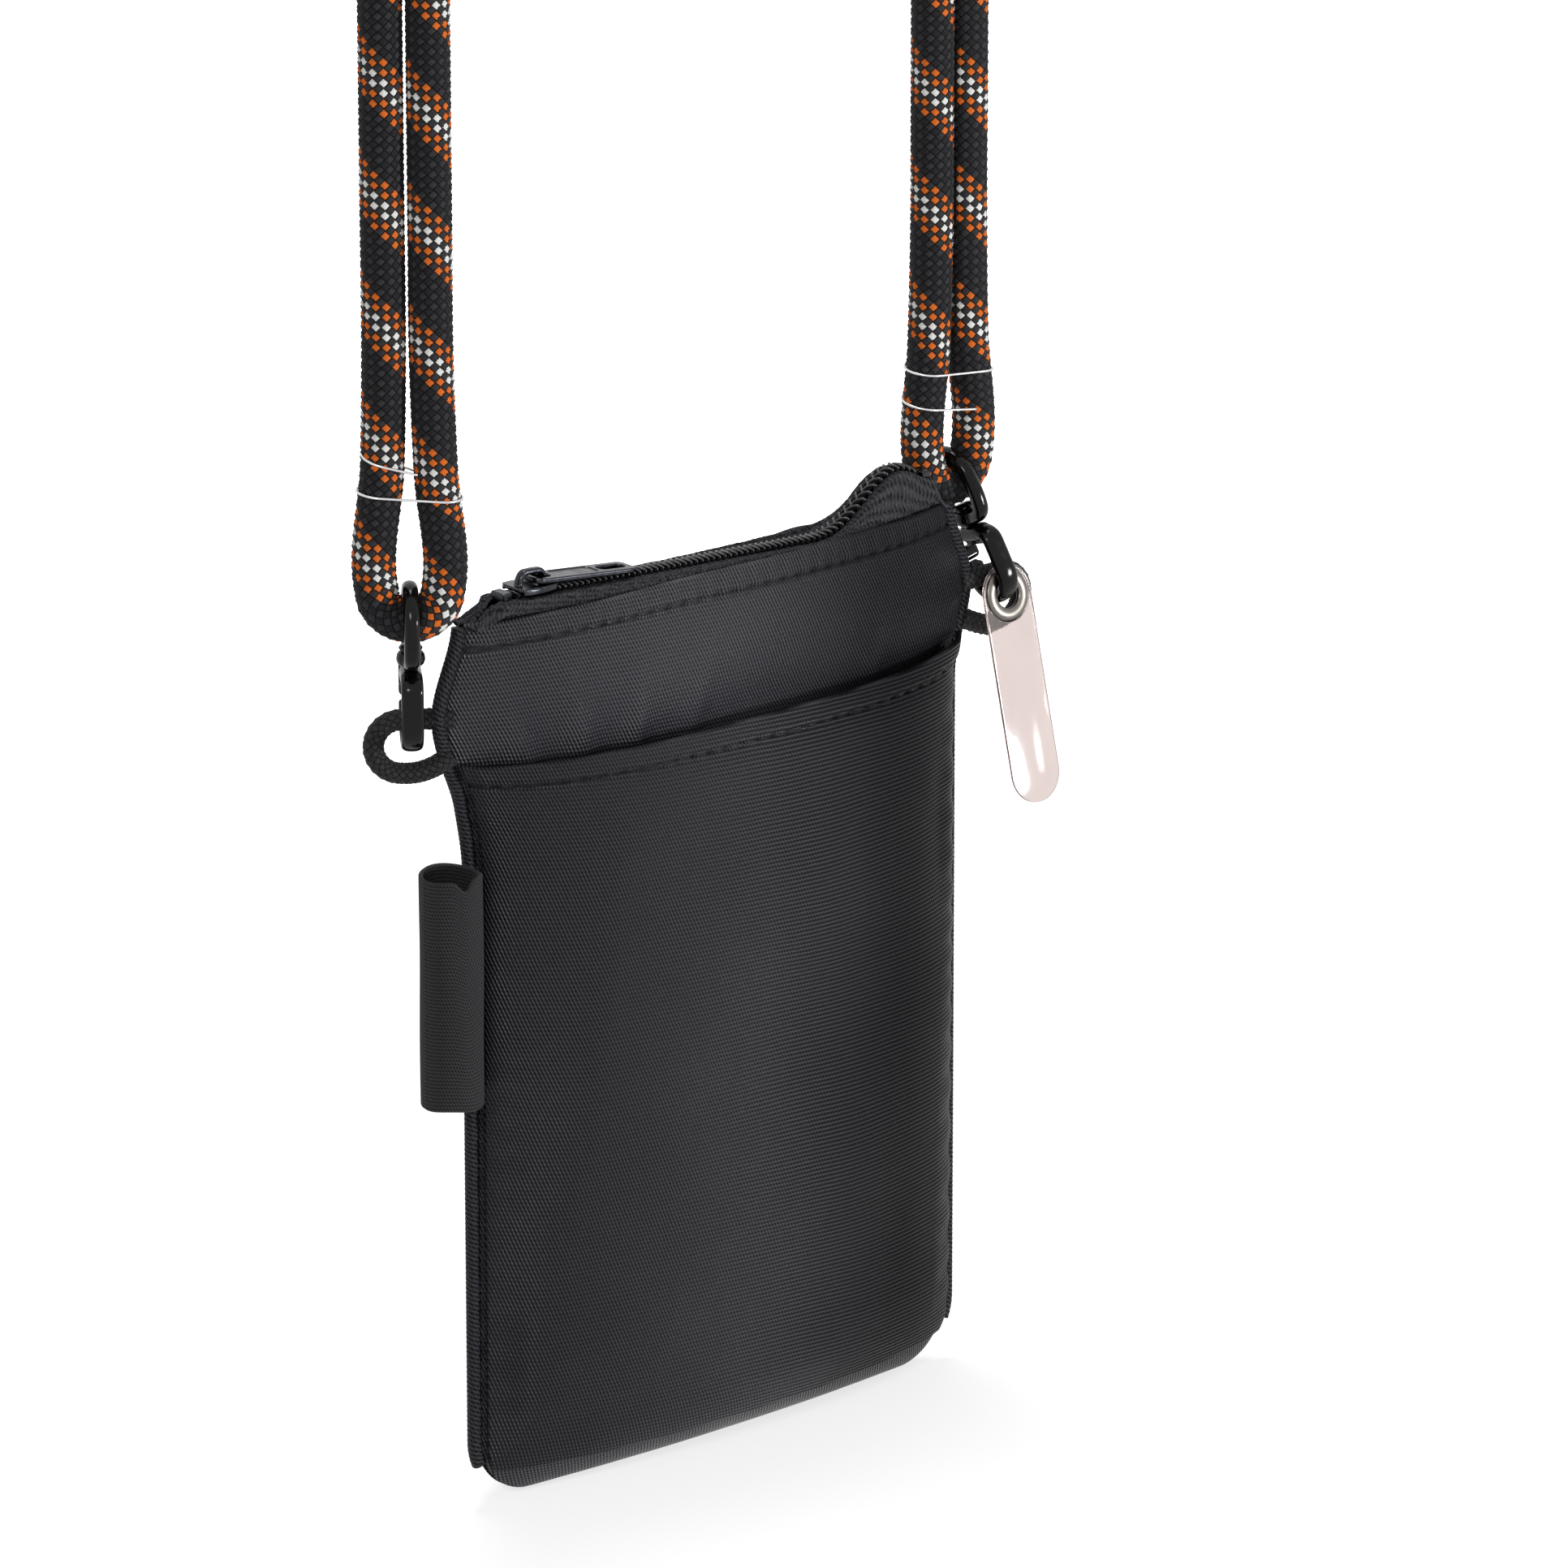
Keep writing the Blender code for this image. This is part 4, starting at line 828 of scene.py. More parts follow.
def makeRope():
    braided = [rope[key] for key in ("thick", "carriers", "lead", "relief", "taper")]
    knots, wires = [], []
    for side, tag in leftRight:
        p, f, t, _ = braid(knotWinding(side), *braided)
        knots.append(addPiece("slidingKnot" + tag, p, f, braidedPolyester, "strap",
                              ("sliding_knot_" + tag.lower(),), t))
    p, f, t, line = braid(ropeRoute(), *braided)
    strap = addPiece("ropeStrap", p, f, braidedPolyester, "strap", ("rope_strap",), t)
    for side, tag in leftRight:
        path, _ = smoothLine(tieWinding(side), 0.5 * mm)
        p, f = tubeMesh(path, roundOffsets(len(path), 12, ties["wire"] / 2))
        wires.append(addPiece("tieWire" + tag, p, f, tinnedWire, "strap", ("tie_wire_" + tag.lower(),)))


makeRope()
print("rope strap, knots and ties: done")


# Pouch shell

shell = {
    "height": 0.175,
    "width": 0.117,
    "topNarrowing": 1.0 * mm,
    "loopFlare": 4.0 * mm,
    "flareReach": 18 * mm,
    "corner": 12 * mm,
    "bottomRound": 14 * mm,
    "frontDepth": (10.3 * mm, 5.5 * mm),
    "backDepth": (8.0 * mm, 6.8 * mm),
    "frontPowers": (2.3, 4.0),
    "backPowers": (9.0, 9.0),
    "seamHalf": 0.55 * mm,
    "wall": 0.6 * mm,
    "pull": 3.0 * mm,        # how far the left loop draws the cloth, and over which heights
    "pullFrom": 126 * mm,
    "pullReach": 24 * mm,
}


def halfWidth(h):
    h = np.asarray(h, float)
    band, high = loops["bandHeight"], shell["height"]
    flare = shell["loopFlare"] * (1 - smooth(np.abs(h - band) / shell["flareReach"]))
    narrowing = shell["topNarrowing"] * smooth((h - band) / (high - band))
    corner = shell["corner"]
    rise = np.clip(corner - np.maximum(h, 0), 0, corner)
    return shell["width"] / 2 + flare - narrowing - corner + np.sqrt(corner**2 - rise**2)


def pulled(points):
    # The left loop draws the cloth beside it outwards, up to the corner of the mouth.
    x, h = points[..., 0], points[..., 2]
    share = smooth((-x / halfWidth(h) - 0.5) / 0.5)
    move = shell["pull"] * smooth((h - shell["pullFrom"]) / shell["pullReach"]) * share
    return points - np.stack([move, 0 * move, 0 * move], -1)


def bottomShare(h):
    left = 1 - np.clip(np.maximum(h, 0) / shell["bottomRound"], 0, 1)
    return np.sqrt(1 - left**2)


def crown(u, power):
    return (1 - np.minimum(np.abs(u), 1.0) ** power) ** 0.75


def shellDepth(x, h, depths, powers, inset=0.0, depthInset=0.0, foot=0.0):
    top = smooth((h / shell["height"] - 0.15) / 0.85)
    depth = mix(depths[0], depths[1], top) - depthInset
    power = mix(powers[0], powers[1], top)
    return depth * bottomShare(h - foot) * crown(x / (halfWidth(h) - inset), power)


def frontDepth(x, h, *insets):
    return shellDepth(x, h, shell["frontDepth"], shell["frontPowers"], *insets)


def backDepth(x, h, *insets):
    return shellDepth(x, h, shell["backDepth"], shell["backPowers"], *insets)


# Places across the sheet, in mm from its middle, and the heights of the weave's relief.
weave = {
    "turns": (-30.0, 22.0),      # from upright warp lines to ribs across
    "rises": (-55.0, -12.0), "falls": (-5.0, 42.0),      # where the painted light rises and falls across the sheet
    "relief": (-1.4, 1.6), "crowns": (-1.0, 1.5), "crownShine": (0.05, 2.2),
    "drift": 0.06, "wear": 0.05,
}


def clothMaterial(name, look):
    # Woven cloth: ribs across and warp up the sheet, read from the threads' arc lengths in metres.
    made, tree = newMaterial(name)
    threads = addNode(tree, "UVMap", uv_map="threads")
    scaled = addNode(tree, "VectorMath", {0: threads, "Scale": 1000.0}, operation="SCALE")
    uv = addNode(tree, "SeparateXYZ", {0: scaled})
    drift = addNode(tree, "TexNoise", {"Vector": scaled, "Scale": weave["drift"], "Detail": 2.0})
    # slanted weft ribs, and warp lines that wander with them
    start, end = weave["turns"]
    across, upright = [addNode(tree, "MapRange", {0: uv, 1: start, 2: end, 3: low, 4: high}, **soft)
                       for low, high in (look["ribShare"], look["warpShare"])]
    slant = addNode(tree, "Math", {0: uv, 1: look["slant"], 2: uv.outputs[1]}, operation="MULTIPLY_ADD")
    wander = addNode(tree, "Math", {0: drift, 1: look["wander"], 2: slant}, operation="MULTIPLY_ADD")
    ribTurn = addNode(tree, "Math", {0: wander, 1: 2 * pi / look["rib"]}, operation="MULTIPLY")
    rib = addNode(tree, "Math", {0: ribTurn}, operation="SINE")
    warpTurn = addNode(tree, "Math", {0: uv, 1: 2 * pi / look["warp"]}, operation="MULTIPLY")
    shifted = addNode(tree, "Math", {0: ribTurn, 1: 0.5, 2: warpTurn}, operation="MULTIPLY_ADD")
    warp = addNode(tree, "Math", {0: shifted}, operation="SINE")
    ribPart = addNode(tree, "Math", {0: rib, 1: across}, operation="MULTIPLY")
    both = addNode(tree, "Math", {0: warp, 1: upright, 2: ribPart}, operation="MULTIPLY_ADD")
    yarn = addNode(tree, "TexNoise", {"Vector": scaled, "Scale": look["grain"], "Detail": 3.0,
                                      "Roughness": 0.65})
    height = addNode(tree, "Math", {0: yarn, 1: look["grainShare"], 2: both}, operation="MULTIPLY_ADD")
    bump = addNode(tree, "Bump", {"Strength": look["bump"], "Distance": look["bumpDepth"], "Height": height})
    # painted light: the colour and the shine are drawn brighter a little left of the sheet's middle and
    # darker towards its sides, most at its right
    left, middle, right = look["paintedLight"]
    rise, fall = [addNode(tree, "MapRange", {0: uv, 1: places[0], 2: places[1], 3: low, 4: high}, **soft)
                  for places, low, high in ((weave["rises"], left / middle, 1.0),
                                            (weave["falls"], middle, right))]
    paintedLight = addNode(tree, "Math", {0: rise, 1: fall}, operation="MULTIPLY")
    # painted shade and highlight of the weave: its colour is darker in the hollows and lighter on the crowns,
    # mixed with the yarn's random tone
    low, high = weave["relief"]
    lit = addNode(tree, "MapRange", {0: height, 1: low, 2: high})
    shade = addNode(tree, "Math", {0: lit, 1: paintedLight}, operation="MULTIPLY")
    colour = addNode(tree, "Mix", {0: shade, 6: toLinear(look["dark"]), 7: toLinear(look["light"])}, **rgba)
    low, high = weave["crowns"]
    dull, bright = weave["crownShine"]
    crowns = addNode(tree, "MapRange", {
        0: height, 1: low, 2: high, 3: look["specular"] * dull, 4: look["specular"] * bright})
    shine = addNode(tree, "Math", {0: crowns, 1: paintedLight}, operation="MULTIPLY")
    worn = addNode(tree, "MapRange", {
        0: drift, 1: 0.3, 2: 0.7, 3: look["roughness"] - weave["wear"], 4: look["roughness"] + weave["wear"]})
    links = {"Base Color": colour.outputs[2], "Roughness": worn, "Specular IOR Level": shine, "Normal": bump,
             "Sheen Weight": look["sheen"], "Sheen Roughness": 0.4, "Sheen Tint": toLinear(look["sheenTint"])}
    if look["anisotropic"]:
        weft = addNode(tree, "Tangent", direction_type="UV_MAP", uv_map="threads")
        links |= {"Anisotropic": look["anisotropic"], "Anisotropic Rotation": 0.25, "Tangent": weft}
    finishMaterial(tree, addNode(tree, "BsdfPrincipled", links))
    return made


# Ribs, warp and wander are in millimetres; each share runs from the sheet's left to its right.
nylonLook = {
    # dark and light are the weave's colours in its hollows and on its crowns: painted shade and highlight
    "dark": "#020203", "light": "#2C2B32", "roughness": 0.4, "specular": 0.2,
    "sheen": 0.02, "sheenTint": "#C8C8D0", "anisotropic": 0.5,
    "rib": 0.84, "ribShare": (0.35, 1.0), "warp": 0.74, "warpShare": (0.75, 0.2),
    "slant": 0.05, "wander": 0.5, "grain": 2.2, "grainShare": 0.7,
    # the three factors of painted light on the colour and shine, at the sheet's left, its middle and its
    # right
    "bump": 0.9, "bumpDepth": 0.12 * mm, "paintedLight": (0.62, 0.9, 0.25),
}
# Nylon satin twill, dyed black: a silky, ribbed shine that comes and goes with the folds, and painted light
# across each sheet, brightest a little left of its middle and darkest at its right. Its ribs are 0.8 mm
# apart; the finer warp between them is drawn at 0.74 mm, for 0.55, so it shows.
satinNylon = clothMaterial("nylonSatinWoven", nylonLook)
# The same cloth, laid with its warp lines to the front, and drawn brighter by stronger painted light.
satinNylonUpright = clothMaterial("nylonSatinWovenUpright", dict(
    nylonLook, ribShare=(0.4, 0.15), warpShare=(0.9, 1.0), paintedLight=(1.2, 1.7, 0.5)))
# The same nylon, cut on the slant and folded round the seams: its ribs run across the binding.
# Like the satin, it carries painted light, which draws it a little darker round its fold.
bindingNylon = clothMaterial("nylonBindingWoven", dict(
    nylonLook, rib=0.9, slant=0.5, warp=0.9, roughness=0.6))
# Plain polyester lining: flat and dull, with a fine square weave of 0.5 mm.
# Like the satin, it carries painted light, which draws most of its round much darker.
liningPolyester = clothMaterial("polyesterLiningWoven", dict(
    nylonLook, dark="#101012", light="#1E1E21", rib=0.5, warp=0.5, roughness=0.7,
    specular=0.15, bump=0.3, anisotropic=0.0))
tapeLook = dict(
    nylonLook, dark="#010101", light="#3F3F43", roughness=0.72, specular=0.09, paintedLight=(1, 1, 1),
    sheenTint="#B0B0B4", anisotropic=0.0, rib=1.25, ribShare=(0.8, 0.8), warp=1.1, warpShare=(0.8, 0.8),
    slant=0.15, wander=0.6, grain=1.2, grainShare=2.0, bump=1.0, bumpDepth=0.16 * mm)
# Knitted zip tape: dull, with a pebbled herringbone that breaks up every highlight.
zipTapeCloth = clothMaterial("polyesterZipTapeKnitted", tapeLook)
# Spun cord inside the coil: dull black.
coilCord = clothMaterial("polyesterCordSpun", dict(tapeLook, light="#121213", specular=0.03, sheen=0.0))
# Knitted elastic: matt and close, with a fine sparkle from its loops, 0.6 mm apart.
knittedElastic = clothMaterial("elasticKnitted", dict(
    tapeLook, dark="#171718", light="#323234", roughness=0.85, specular=0.15, sheen=0.08,
    sheenTint="#B8B8BC", rib=0.7, warp=0.55, slant=0.0, wander=0.3, grain=4.5, grainShare=1.2,
    bump=0.7, bumpDepth=0.08 * mm))

# Spun polyester sewing thread: two plies twisted, a little glossier than the cloth.
sewingThread = grainMaterial("sewingThreadSpun", {
    "twist": {"Scale": 1100.0, "Distortion": 1.5}, "dark": "#080809", "light": "#222225",
    "bump": (0.5, 0.05 * mm), "surface": {"Roughness": 0.6},
})

# Turned hems: the stitch line under the cloth's edge, how far the doubled cloth stands out above it
# and over what height it does so, over what width it dies away at the side seams, and the groove's width.
hems = {
    "front": {"line": 4.5 * mm, "stand": 0.5 * mm, "soft": 1.1 * mm, "ends": 3 * mm, "groove": 0.75 * mm},
    "back": {"line": 4.5 * mm, "stand": 0.5 * mm, "soft": 1.1 * mm, "ends": 3 * mm, "groove": 0.9 * mm},
    "pocket": {"line": 4.0 * mm, "stand": 0.4 * mm, "soft": 1.0 * mm, "ends": 2.5 * mm,
               "groove": 0.62 * mm},
}
sewing = {
    "pitch": 3.9 * mm,
    "stitch": 2.7 * mm,
    "thread": 0.34 * mm,
    "dimple": 0.95 * mm,
    "dimpleFloor": 0.3,          # how deep the groove stays between two holes
    "turned": 5.1 * mm,          # how far the turned cloth reaches down inside
    "turnedShare": 0.8,          # of a wall that it adds
    "turnedSoft": 0.8 * mm,
    "lift": 0.12 * mm,           # of a stitch's middle over the cloth
    "sink": 0.5,                 # of its ends into the cloth, in threads
    "run": 0.96,                 # share of the mouth's width that is stitched
    "endColumns": 4,             # of the pocket's sheet, left without stitches at each side
    "seamWidth": 5 * mm,         # over which a side seam pulls the cloth into ripples
    "seamFoot": 20 * mm,
}
fineGrid, plainGrid = (1.0 * mm, 236), (1.2 * mm, 190)       # the rows' step and the columns
# How far the cloth moves outwards over its plain crown, where, and over what width.
frontDrape = {
    "slack": 0.55 * mm, "slackWave": 0.040, "slackFrom": 0.142, "slackEdge": 9 * mm,
    "lean": 1.3 * mm, "leanTop": 0.173, "leanFall": 0.024, "leanFoot": 0.120, "leanRise": 0.025,
    "puckers": ((-0.049, 0.3, 1.0), (-0.038, 0.1, 1.1), (-0.026, -0.1, 1.0), (-0.012, -0.3, 0.5),
                (0.034, -0.2, 0.4)),     # place, slant and size
    "pucker": 1.25 * mm, "puckerWidth": 3.0 * mm, "puckerRoot": 0.148,
    "puckerMiddle": 0.151, "puckerReach": 9 * mm,
    "hemWave": 0.09 * mm, "hemWaveReach": 3.2 * mm, "hemWaveDrift": (0.7, 230),
    "seam": (0.16 * mm, 6.5 * mm, 90, 0),
}
backDrape = {
    "slack": 0.5 * mm, "slackWave": 0.055, "mouthFrom": 0.150, "mouthReach": 0.025,
    "slackEdges": (12 * mm, 16 * mm, 10 * mm),       # from the side seams, the foot and the mouth
    "closing": 1.2 * mm, "sag": 1.3 * mm, "sagWaves": ((0.3 * mm, 160, 1), (0.2 * mm, 410, 0)),
    "seam": (0.16 * mm, 6.5 * mm, 110, 0),
}
pocket = {
    "height": 0.149, "sag": 2.5 * mm, "ease": 5.6 * mm, "foot": 6 * mm, "sideSeam": 0.9 * mm,
    "stand": 0.7 * mm, "slack": 0.75 * mm, "slackWave": 0.066, "mouthIn": 0.9 * mm, "mouthReach": 9 * mm,
    # long soft folds that run down from the mouth: place, slant, size and width
    "folds": ((-0.030, -0.16, 0.9 * mm, 7 * mm), (0.012, 0.10, 0.7 * mm, 10 * mm)),
    "foldsOver": 1 * mm, "foldsReach": 30 * mm,
    "slackEdges": (8 * mm, 15 * mm),     # from the side seams and the foot
    "slackMouth": (2 * mm, 14 * mm), "slackMiddle": 0.4, "seam": (0.18 * mm, 7.5 * mm, 75, 1),
}


def ripple(x, h, seed, scale):
    # Smooth unevenness of slack cloth, about 1 at most: a few long waves of random direction.
    random = np.random.default_rng(seed)
    total = np.zeros(np.broadcast(x, h).shape)
    for _ in range(7):
        turn = random.uniform(0, pi)
        length = scale * random.uniform(0.7, 1.9)
        phase = random.uniform(0, 2 * pi)
        total += np.sin(2 * pi * (x * cos(turn) + h * sin(turn)) / length + phase) / 7 ** 0.5
    return total


def hemShape(x, top, edge, hem):
    # A turned hem: doubled cloth that stands proud over a groove, deeper at each stitch hole.
    fold = smooth((hem["line"] - top) / hem["soft"] + 0.5)
    hole = (0.5 + 0.5 * np.cos(2 * pi * x / sewing["pitch"])) ** 2
    low = sewing["dimpleFloor"]
    groove = sewing["dimple"] * bell(top - hem["line"], hem["groove"]) * (low + (1 - low) * hole)
    return hem["stand"] * fold * smooth(edge / hem["ends"]) - groove


def seamRipples(edge, h, ripples):
    # Small ripples where the side seams pull: their size, pitch, unevenness and lift.
    size, pitch, bend, lift = ripples
    seam = bell(edge, sewing["seamWidth"]) * smooth(h / sewing["seamFoot"])
    return size * seam * (lift + np.sin(2 * pi * h / pitch + 2 * np.sin(h * bend)))


def frontLook(x, h):
    # Extra outward moves of the front panel over its plain crown.
    half = halfWidth(h)
    edge = half - np.abs(x)
    top = shell["height"] - h
    near = frontDrape["slackEdge"]
    free = smooth(edge / near) * smooth((h - frontDrape["slackFrom"]) / near)
    move = frontDrape["slack"] * ripple(x, h, 3, frontDrape["slackWave"]) * free
    # the cloth leans back from the pocket's mouth up to the zip
    lean = smooth((frontDrape["leanTop"] - h) / frontDrape["leanFall"])
    lean = lean * smooth((h - frontDrape["leanFoot"]) / frontDrape["leanRise"])
    move = move + frontDrape["lean"] * lean * crown(x / half, 4)
    # short puckers that rise from the pocket's mouth
    for place, slant, size in frontDrape["puckers"]:
        line = x - place + slant * (h - frontDrape["puckerRoot"])
        reach = bell(h - frontDrape["puckerMiddle"], frontDrape["puckerReach"])
        move = move + size * frontDrape["pucker"] * bell(line, frontDrape["puckerWidth"]) * reach
    hem = hems["front"]
    move = move + hemShape(x, top, edge, hem)
    drift, rate = frontDrape["hemWaveDrift"]
    wave = np.sin(2 * pi * x / sewing["pitch"] + drift * np.sin(x * rate))
    move = move + frontDrape["hemWave"] * wave * bell(top - hem["line"] / 2, frontDrape["hemWaveReach"])
    return move + seamRipples(edge, h, frontDrape["seam"])


def frontPoint(x, h):
    return pulled(np.stack([x, -shell["seamHalf"] - frontDepth(x, h) - frontLook(x, h), h], -1))


def backLook(x, h):
    edge = halfWidth(h) - np.abs(x)
    top = shell["height"] - h
    sides, foot, mouth = backDrape["slackEdges"]
    free = smooth(edge / sides) * smooth(h / foot) * smooth(top / mouth)
    move = backDrape["slack"] * ripple(x, h, 8, backDrape["slackWave"]) * free
    return move + hemShape(x, top, edge, hems["back"]) + seamRipples(edge, h, backDrape["seam"])


def backPoint(x, h):
    mouth = smooth((h - backDrape["mouthFrom"]) / backDrape["mouthReach"]) * crown(x / halfWidth(h), 4)
    y = shell["seamHalf"] + backDepth(x, h) + backLook(x, h) - backDrape["closing"] * mouth
    waves = sum(size * np.sin(x * rate + phase) for size, rate, phase in backDrape["sagWaves"])
    sag = mouth * (backDrape["sag"] + waves)
    return pulled(np.stack([x, y, h - sag], -1))


def sheetShares(count):
    # Shares across a sheet, from -1 to 1, closer together near its side seams.
    u = np.linspace(-1, 1, count)
    return mix(u, np.sin(u * pi / 2), 0.55)


def hemRows(low, high, step):
    # Heights from low to high, close together in the foot's curve and in the hem.
    fine, hemReach, footReach = 0.34 * mm, 8 * mm, 0.012
    foot = low + footReach * np.linspace(0, 1, 16) ** 1.6
    middle = np.arange(foot[-1] + step, high - hemReach, step)
    return np.concatenate([foot, middle, np.linspace(high - hemReach, high, int(hemReach / fine))])


def panelGrid(point, step, columns):
    h = hemRows(0.0, shell["height"], step)[:, None]
    x = halfWidth(h) * sheetShares(columns)[None]
    return point(x, np.broadcast_to(h, x.shape))


def outward(x, h):
    step = gap
    slopeX = (frontDepth(x + step, h) - frontDepth(x - step, h)) / (2 * step)
    slopeH = (frontDepth(x, h + step) - frontDepth(x, h - step)) / (2 * step)
    normal = np.stack([-slopeX, -np.ones_like(slopeX), -slopeH], -1)
    return normal / np.linalg.norm(normal, axis=-1, keepdims=True)


def pocketGrid(step, columns):
    foot, full = pocket["foot"], pocket["height"]
    share = sheetShares(columns)[None]
    hem = full - pocket["sag"] * crown(share, 2.3)
    v = (hemRows(foot, full, step)[:, None] - foot) / (full - foot)
    h = foot + (hem - foot) * v
    x = (halfWidth(h) - pocket["sideSeam"]) * share
    top = hem - h
    rise = smooth((h - foot) / (full - foot))
    middle = crown(x / halfWidth(h), 4.0)
    edge = halfWidth(h) - pocket["sideSeam"] - np.abs(x)
    sides, above = pocket["slackEdges"]
    free = smooth(edge / sides) * smooth((h - foot) / above)
    stand = pocket["stand"] + pocket["ease"] * np.sqrt(rise) * middle
    over, reach = pocket["slackMouth"]
    slack = ripple(x, h, 5, pocket["slackWave"]) + pocket["slackMiddle"]
    slack = slack * free * smooth((top + over) / reach)
    stand = stand + pocket["slack"] * slack
    for place, slant, size, wide in pocket["folds"]:
        line = x - place - slant * (full - h)
        fade = smooth((full + pocket["foldsOver"] - h) / pocket["foldsReach"])
        stand = stand + size * bell(line, wide) * free * fade
    stand = stand - pocket["mouthIn"] * smooth((pocket["mouthReach"] - top) / pocket["mouthReach"]) * middle
    stand = stand + hemShape(x, top, edge, hems["pocket"]) + seamRipples(edge, h, pocket["seam"])
    # the foot closes in on the panel
    seat = np.stack([x, -shell["seamHalf"] - frontDepth(x, h), h], -1)
    return pulled(seat + outward(x, h) * stand[..., None])


def hemWall(grid):
    # Twice as thick where the cloth is turned over along its top edge.
    drop = arcLengths(grid[::-1], 0)[::-1]
    turned = smooth((sewing["turned"] - drop) / sewing["turnedSoft"])
    return shell["wall"] * (1 + sewing["turnedShare"] * turned)


def stitchRow(name, points, outs):
    # Short sunk capsules of thread along a line of points, each with its outward direction.
    along = np.concatenate([[0], np.cumsum(np.linalg.norm(np.diff(points, axis=0), axis=1))])
    rings, thread = 9, sewing["thread"]
    bow = np.cos(np.linspace(-pi / 2, pi / 2, rings))[:, None]
    radius = thread / 2 * np.sqrt(np.clip(1 - np.linspace(-1, 1, rings) ** 6, 0.15, 1))
    parts = []
    for i in range(int(along[-1] / sewing["pitch"])):
        at = (i + 0.5) * sewing["pitch"] + np.linspace(-0.5, 0.5, rings) * sewing["stitch"]
        line, out = [np.stack([np.interp(at, along, given[:, k]) for k in range(3)], -1)
                     for given in (points, outs)]
        line = line + out * (sewing["lift"] * bow - sewing["sink"] * thread * (1 - bow))
        parts.append(tubeMesh(line, roundOffsets(rings, 8, radius)))
    p, f = joined(*parts)
    addPiece(name, p, f, sewingThread, "pouch", ())


def makePanels():
    slip = pocketGrid(*fineGrid)
    for name, node, grid, cloth in (
            ("frontPanel", "front_panel", panelGrid(frontPoint, *fineGrid), satinNylonUpright),
            ("backPanel", "back_panel", panelGrid(backPoint, *plainGrid)[:, ::-1], satinNylon),
            ("pocketPanel", "pocket_panel", slip, satinNylon)):
        p, f, t = clothSheet(grid, hemWall(grid))
        addPiece(name, p, f, cloth, "pouch", (node,), t)

    hemHeight = shell["height"] - hems["front"]["line"]
    x = np.linspace(-sewing["run"], sewing["run"], 400) * halfWidth(hemHeight)
    for name, point, sign in (("topStitchingFront", frontPoint, -1), ("topStitchingBack", backPoint, 1)):
        outs = np.tile((0.0, sign, 0.0), (len(x), 1))
        stitchRow(name, point(x, np.full_like(x, hemHeight)) + outs * (shell["wall"] / 2), outs)
    drop = np.linalg.norm(slip - slip[-1:], axis=-1)
    columns = np.arange(sewing["endColumns"], slip.shape[1] - sewing["endColumns"])
    row = np.abs(drop - hems["pocket"]["line"]).argmin(0)[columns]
    outs = gridNormals(slip)[row, columns]
    stitchRow("pocketStitching", slip[row, columns] + outs * shell["wall"] / 2, outs)


makePanels()
print("panels: done")


# Lining, side bindings

lining = {
    "inset": 5 * mm, "wall": 0.4 * mm, "top": 0.1684, "clear": 0.7 * mm, "ease": 0.985,
    "rows": 90, "columns": 160, "rowsPower": 1.35,       # rows closer together at the foot
}
binding = {
    "low": 7.2 * mm, "high": 0.1747, "out": 1.25 * mm, "reach": 1.4 * mm, "rib": 0.05 * mm,
    "ribPitch": 1.0 * mm, "wrap": 1.15 * mm, "rows": 420, "columns": 28, "squash": 0.9, "power": 2.3,
}


def makeLining():
    inset, wall = lining["inset"], lining["wall"]
    rows, columns = lining["rows"], lining["columns"]
    v = np.linspace(0, 1, rows)[:, None] ** lining["rowsPower"]
    turn = np.linspace(-pi, pi, columns, endpoint=False)[None]
    h = np.broadcast_to(inset + (lining["top"] - inset) * v, (rows, columns))
    x = (halfWidth(h) - inset) * np.sin(turn) * lining["ease"]
    deep = shell["wall"] / 2 + wall / 2 + lining["clear"]
    front = -(wall / 2 + gap) - frontDepth(x, h, inset, deep, inset)
    back = (wall / 2 + gap) + backDepth(x, h, inset, deep, inset)
    grid = np.stack([x, np.where(np.cos(turn) >= 0, front, back), h], -1)
    p, f, t = clothSheet(grid, wall, wrap=True, middleU=False)
    addPiece("liningBag", p, f, liningPolyester, "pouch", ("lining",), t)


def makeBindings():
    columns = binding["columns"]
    for side, tag in leftRight:
        h = np.linspace(binding["low"], binding["high"], binding["rows"])
        line = pulled(np.stack([side * (halfWidth(h) + binding["out"]), np.zeros_like(h), h], -1))
        s = arcLengths(line[None], 1)[0]
        reach = binding["reach"] + binding["rib"] * np.sin(2 * pi * s / binding["ribPitch"])
        section = roundOffsets(len(h), columns, reach, binding["squash"], binding["power"])
        p, f = tubeMesh(line, section, side=(1, 0, 0))
        turn = np.arange(columns) * (2 * pi * binding["wrap"] / columns)
        t = np.stack(np.broadcast_arrays(turn[None], s[:, None]), -1).reshape(-1, 2)
        t = np.concatenate([t, [[0, s[0]], [0, s[-1]]]])
        addPiece("sideBinding" + tag, p, f, bindingNylon, "pouch", ("side_binding_" + tag.lower(),),
                 t)


makeLining()
makeBindings()
print("lining and bindings: done")


# Zip

